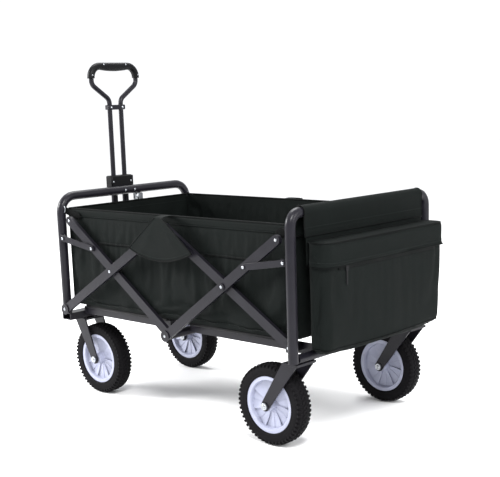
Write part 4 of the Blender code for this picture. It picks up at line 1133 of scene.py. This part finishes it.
# %% Bag trims
piping("bag_mouth_binding", shifted(bag_lines[-1], z=0.4 * MM), 1.7 * MM, "rear_frame", closed=True)
bag_middle_x = (bag_low.x + bag_high.x) / 2
bottom_line = [p + (p - Vector((bag_middle_x, 0, p.z))).normalized() * 0.6 * MM for p in bag_lines[7]]
piping("bag_bottom_piping", bottom_line, 1.6 * MM, "rear_frame", closed=True)
ZIP_Z, ZIP_HALF = 438 * MM, 200 * MM
zip_row = min(range(9, len(rows)), key=lambda r: abs(bag_lines[r][20].z - ZIP_Z))
front_face = [p for p in bag_lines[zip_row] if p.x > bag_high.x - 12 * MM and -ZIP_HALF <= p.y <= ZIP_HALF]
track = shifted(sorted(front_face, key=lambda p: p.y), x=0.9 * MM)
tape_rows = [shifted(track, z=dz) for dz in (-9 * MM, 9 * MM)]
tape = skin("zip_tape", tape_rows, BINDING, thickness=0.9 * MM, smooth=0)
finish_piece(tape, "rear_frame", "black_fabric")
teeth = grow(
    "zip_teeth", points_mesh("zip_track", shifted(track, x=0.8 * MM), joined=True), STITCHES, ZIP_NYLON,
    {"Pitch": 3 * MM, "Length": 1.6 * MM, "Thickness": 4.2 * MM},
)
finish_piece(teeth, "rear_frame", "black_fabric")

# %% Lid
lid_low, lid_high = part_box("bag_lid")
lid_middle_x, lid_top_from = (lid_low.x + lid_high.x) / 2, lid_high.z - 6 * MM
rows = shell_rows(
    lid_low, lid_high, corner=20 * MM, rounding=9 * MM, start_z=lid_high.z, end_z=lid_low.z, sink=0.4 * MM,
    crown=2.5 * MM, turns=4, tall=9,
)
for row in rows:
    for p in row:
        if p.x > lid_middle_x and p.z < lid_top_from:
            flare = (lid_high.z - p.z) / (lid_high.z - lid_low.z)
            p.x += (fold_noise(p.y, p.z, 71, 0.09, 0.08) * 1.3 + 0.5 * flare) * MM
        elif p.z > lid_top_from:
            p.z += fold_noise(p.y, p.x, 73, 0.08, 0.03) * 1.4 * MM
rows = [list(reversed(row)) for row in rows]
around = len(rows[0])
lid = skin("bag_lid_cloth", rows, POLYESTER, closed=True, smooth=0)
pins = [
    (i, 1.0) for i, v in enumerate(lid.data.vertices)
    if v.co.x < lid_low.x + 3 * MM or v.co.z < lid_low.z + 2 * MM
]
settle(lid, pins, frames=16, grow=0.003, gravity=0.6, pressure=0.8, cap=3.5 * MM, bending=0.5)
lid_lines = rows_of(lid, around)
close_first_ring(lid, around)
face_out(lid)
thicken(lid, 2.0 * MM)
finish_piece(lid, "bag_lid", "black_fabric", "bag_lid")
piping("lid_hem_binding", shifted(lid_lines[-1], z=0.3 * MM), 1.3 * MM, "bag_lid", closed=True)
piping("lid_top_piping", lid_lines[6], 1.6 * MM, "bag_lid", closed=True)
line = []
for p in lid_lines[-3]:
    away = Vector((p.x - lid_middle_x, 0, 0))
    if abs(p.y) >= lid_high.y - 20 * MM:
        away.y = p.y - math.copysign(lid_high.y - 30 * MM, p.y)
    line.append(p + away.normalized() * 0.7 * MM)
stitch_line("lid_stitches_low", line, "bag_lid")
print("bag and lid done")

# %% [markdown]
# ## Straps and small fittings
# Webbing tabs tie the tub's corners to the hoops through steel rings. A rivet holds each of the
# plates on the handle, and a cam lever on the lock block pinches the inner tubes.

# %% Corner tabs and rings
TAB_PATH = ((56, 232.4, 510), (34, 232.8, 513), (10, 233.4, 518), (2, 235, 523))    # in from the end, out, up
for end_name, body, x, toward, ring_out in (
    ("front", "front_frame", front_high.x - 2 * MM, -1, 240 * MM),
    ("rear", "rear_frame", rear_low.x + 2 * MM, 1, 250 * MM),
):
    for side_name, side in SIDES:
        ring_x, ring_y, ring_z = x + toward * 9 * MM, side * ring_out, 528 * MM
        path = [Vector((x - toward * inward * MM, side * out * MM, up * MM)) for inward, out, up in TAB_PATH]
        path.append(Vector((ring_x, ring_y - side * 3 * MM, 526 * MM)))
        path.append(Vector((ring_x + toward * 1.5 * MM, ring_y, 527.5 * MM)))
        tab = band(f"corner_tab_{end_name}_{side_name}", path, 22 * MM, 2.4 * MM, WEBBING)
        finish_piece(tab, body, "black_fabric")
        loop = []
        for i in range(24):
            a = 2 * math.pi * i / 24
            loop.append(Vector((
                ring_x + toward * (4 + 7 * math.cos(a)) * MM, ring_y + side * 2 * MM * math.cos(a),
                ring_z + 10 * math.sin(a) * MM,
            )))
        ring = cord_mesh(f"corner_ring_{end_name}_{side_name}", loop, 1.5 * MM, ZINC, closed=True)
        finish_piece(ring, body, "zinc")

# %% Handle grip
def grip_rows(low, high, bend, half_depth, steps=14):
    """Rings along the grip. It is thin at its shoulders and swells under the fingers in the middle."""
    middle_x, end_y, top_z = (low.x + high.x) / 2, high.y - half_depth, high.z - half_depth
    middle_y, bend_z = end_y - bend, top_z - bend
    centres = [(end_y, low.z, 0.0), (end_y, (low.z + bend_z) / 2, 0.0)]
    for i in range(steps + 1):
        a = math.pi / 2 * i / steps
        centres.append((middle_y + bend * math.cos(a), bend_z + bend * math.sin(a), a))
    centres += [(middle_y * (1 - i / 12), top_z, math.pi / 2) for i in range(1, 12)]
    mirrored = [(-y, z, math.pi - a) for y, z, a in reversed(centres)]
    path = centres + [(0.0, top_z, math.pi / 2)] + mirrored
    rings = []
    for y, z, a in path:
        swell = 1.0 + 0.42 * max(0.0, 1 - (y / middle_y) ** 2) if abs(y) < middle_y else 1.0
        ring = []
        for i in range(20):
            t = 2 * math.pi * i / 20
            out = math.cos(t)
            reach = half_depth * (0.99 if out > 0 else 0.82 * swell) * out
            ring.append(Vector((
                middle_x + half_depth * 0.96 * math.sin(t), y + reach * math.cos(a), z + reach * math.sin(a)
            )))
        rings.append(ring)
    for end, inner in ((0, 1), (-1, -2)):
        middle_point = sum(rings[end], Vector()) / 20
        away = (middle_point - sum(rings[inner], Vector()) / 20).normalized()
        for share, push in ((0.86, 0.0), (0.0, 0.2 * MM)):
            cap = [middle_point + (p - middle_point) * share + away * push for p in rings[end]]
            rings.insert(0 if end == 0 else len(rings), cap)
    return rings


grip_low, grip_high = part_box("handle_grip")
handle_x = (grip_low.x + grip_high.x) / 2
grip = skin("handle_grip_finished", grip_rows(grip_low, grip_high, 31 * MM, 11.5 * MM), GRIP, closed=True, smooth=0)
face_out(grip, SAME_PLACE)
finish_piece(grip, "handle_upper", "black_plastic", "handle_grip")

# %% Rivets and screws on the handle
def on_both_faces(node, out):
    """Places half way up a node, on its front and back, out metres to each side."""
    low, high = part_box(node)
    return [(x, side * out, (low.z + high.z) / 2) for x in (low.x, high.x) for _, side in SIDES]


clamp_spots, block_spots = on_both_faces("handle_clamp_plate", 21 * MM), on_both_faces("handle_lock_block", 33 * MM)
grip_spots = [
    (handle_x + face * depth, side * y, z) for _, side in SIDES
    for depth, y, z in ((9.6 * MM, 41 * MM, 922 * MM), (10.2 * MM, 85 * MM, 893 * MM)) for face in (1, -1)
]
crossbar_spots = [(front_x + 12.3 * MM, y, 562 * MM) for y in (-12 * MM, 23 * MM)]
domed_heads("clamp_plate_rivets", clamp_spots, "handle_upper", 3.6 * MM, 1.4 * MM, along_x=True)
domed_heads("grip_screws", grip_spots, "handle_upper", 2.6 * MM, 1.0 * MM, along_x=True)
domed_heads("lock_block_screws", block_spots, "handle_lower", 3.2 * MM, 1.2 * MM, along_x=True)
domed_heads("crossbar_rivets", crossbar_spots, "front_frame", 3.4 * MM, 1.4 * MM, along_x=True)
print("fittings done")

# %% [markdown]
# ## Floor, light and camera
# The wagon stands on a plain pale floor under four large soft lamps. The camera uses a long lens
# and looks down a little on the rear corner, where the bag, the side and the handle all show.

# %% Floor and lamps
FLOOR_PAINT = textured_plastic("pale_studio_floor", "#fafafa", "#fdfdfd", 2.0 * MM, 0.01 * MM, (0.8, 0.9), wide=0.5)
floor_mesh = bpy.data.meshes.new("studio_floor")
FLOOR_REACH = 14.0
corners = [(x * FLOOR_REACH, y * FLOOR_REACH, 0) for x, y in ((-1, -1), (1, -1), (1, 1), (-1, 1))]
floor_mesh.from_pydata(corners, [], [(0, 1, 2, 3)])
floor = new_piece("studio_floor", floor_mesh, FLOOR_PAINT)

world = bpy.data.worlds.new("soft_studio")
bpy.context.scene.world = world
world.use_nodes = True
sky = world.node_tree.nodes["Background"]
sky.inputs["Color"].default_value = paint("#f7f8fa")
sky.inputs["Strength"].default_value = 1.15
bpy.context.scene.view_settings.view_transform = "Standard"


def lamp(name, place, size, power, target=(0, 0, 0.35)):
    light = bpy.data.lights.new(name, "AREA")
    light.shape = "DISK"
    light.size = size
    light.energy = power
    holder = bpy.data.objects.new(name, light)
    bpy.context.scene.collection.objects.link(holder)
    holder.location = place
    holder.rotation_euler = (Vector(target) - Vector(place)).to_track_quat("-Z", "Y").to_euler()


lamp("key_lamp", (1.9, -1.6, 2.6), 1.0, 110)
lamp("raking_lamp", (-2.3, -1.5, 1.5), 1.0, 110)
lamp("side_lamp", (2.8, 0.4, 1.6), 1.4, 40)
lamp("top_lamp", (-1.0, 0.8, 3.0), 2.0, 90)

# %% Camera
AZIMUTH, ELEVATION, ROLL = (math.radians(v) for v in (43.03, 10.94, -1.85))
lens = bpy.data.cameras.new("camera")
lens.sensor_width = 36.0
lens.lens = 76.1
lens.shift_y = 0.123
lens.clip_end = 60
camera = bpy.data.objects.new("camera", lens)
bpy.context.scene.collection.objects.link(camera)
bpy.context.scene.camera = camera
back = Vector((
    math.sin(AZIMUTH) * math.cos(ELEVATION), -math.cos(AZIMUTH) * math.cos(ELEVATION), math.sin(ELEVATION)
))
right = Vector((math.cos(AZIMUTH), math.sin(AZIMUTH), 0))
up = back.cross(right)
across = math.cos(ROLL) * right + math.sin(ROLL) * up
above = math.cos(ROLL) * up - math.sin(ROLL) * right
turned = Matrix((across, above, back)).transposed().to_4x4()
camera.matrix_world = Matrix.Translation((1.9363, -2.0378, 0.8218)) @ turned
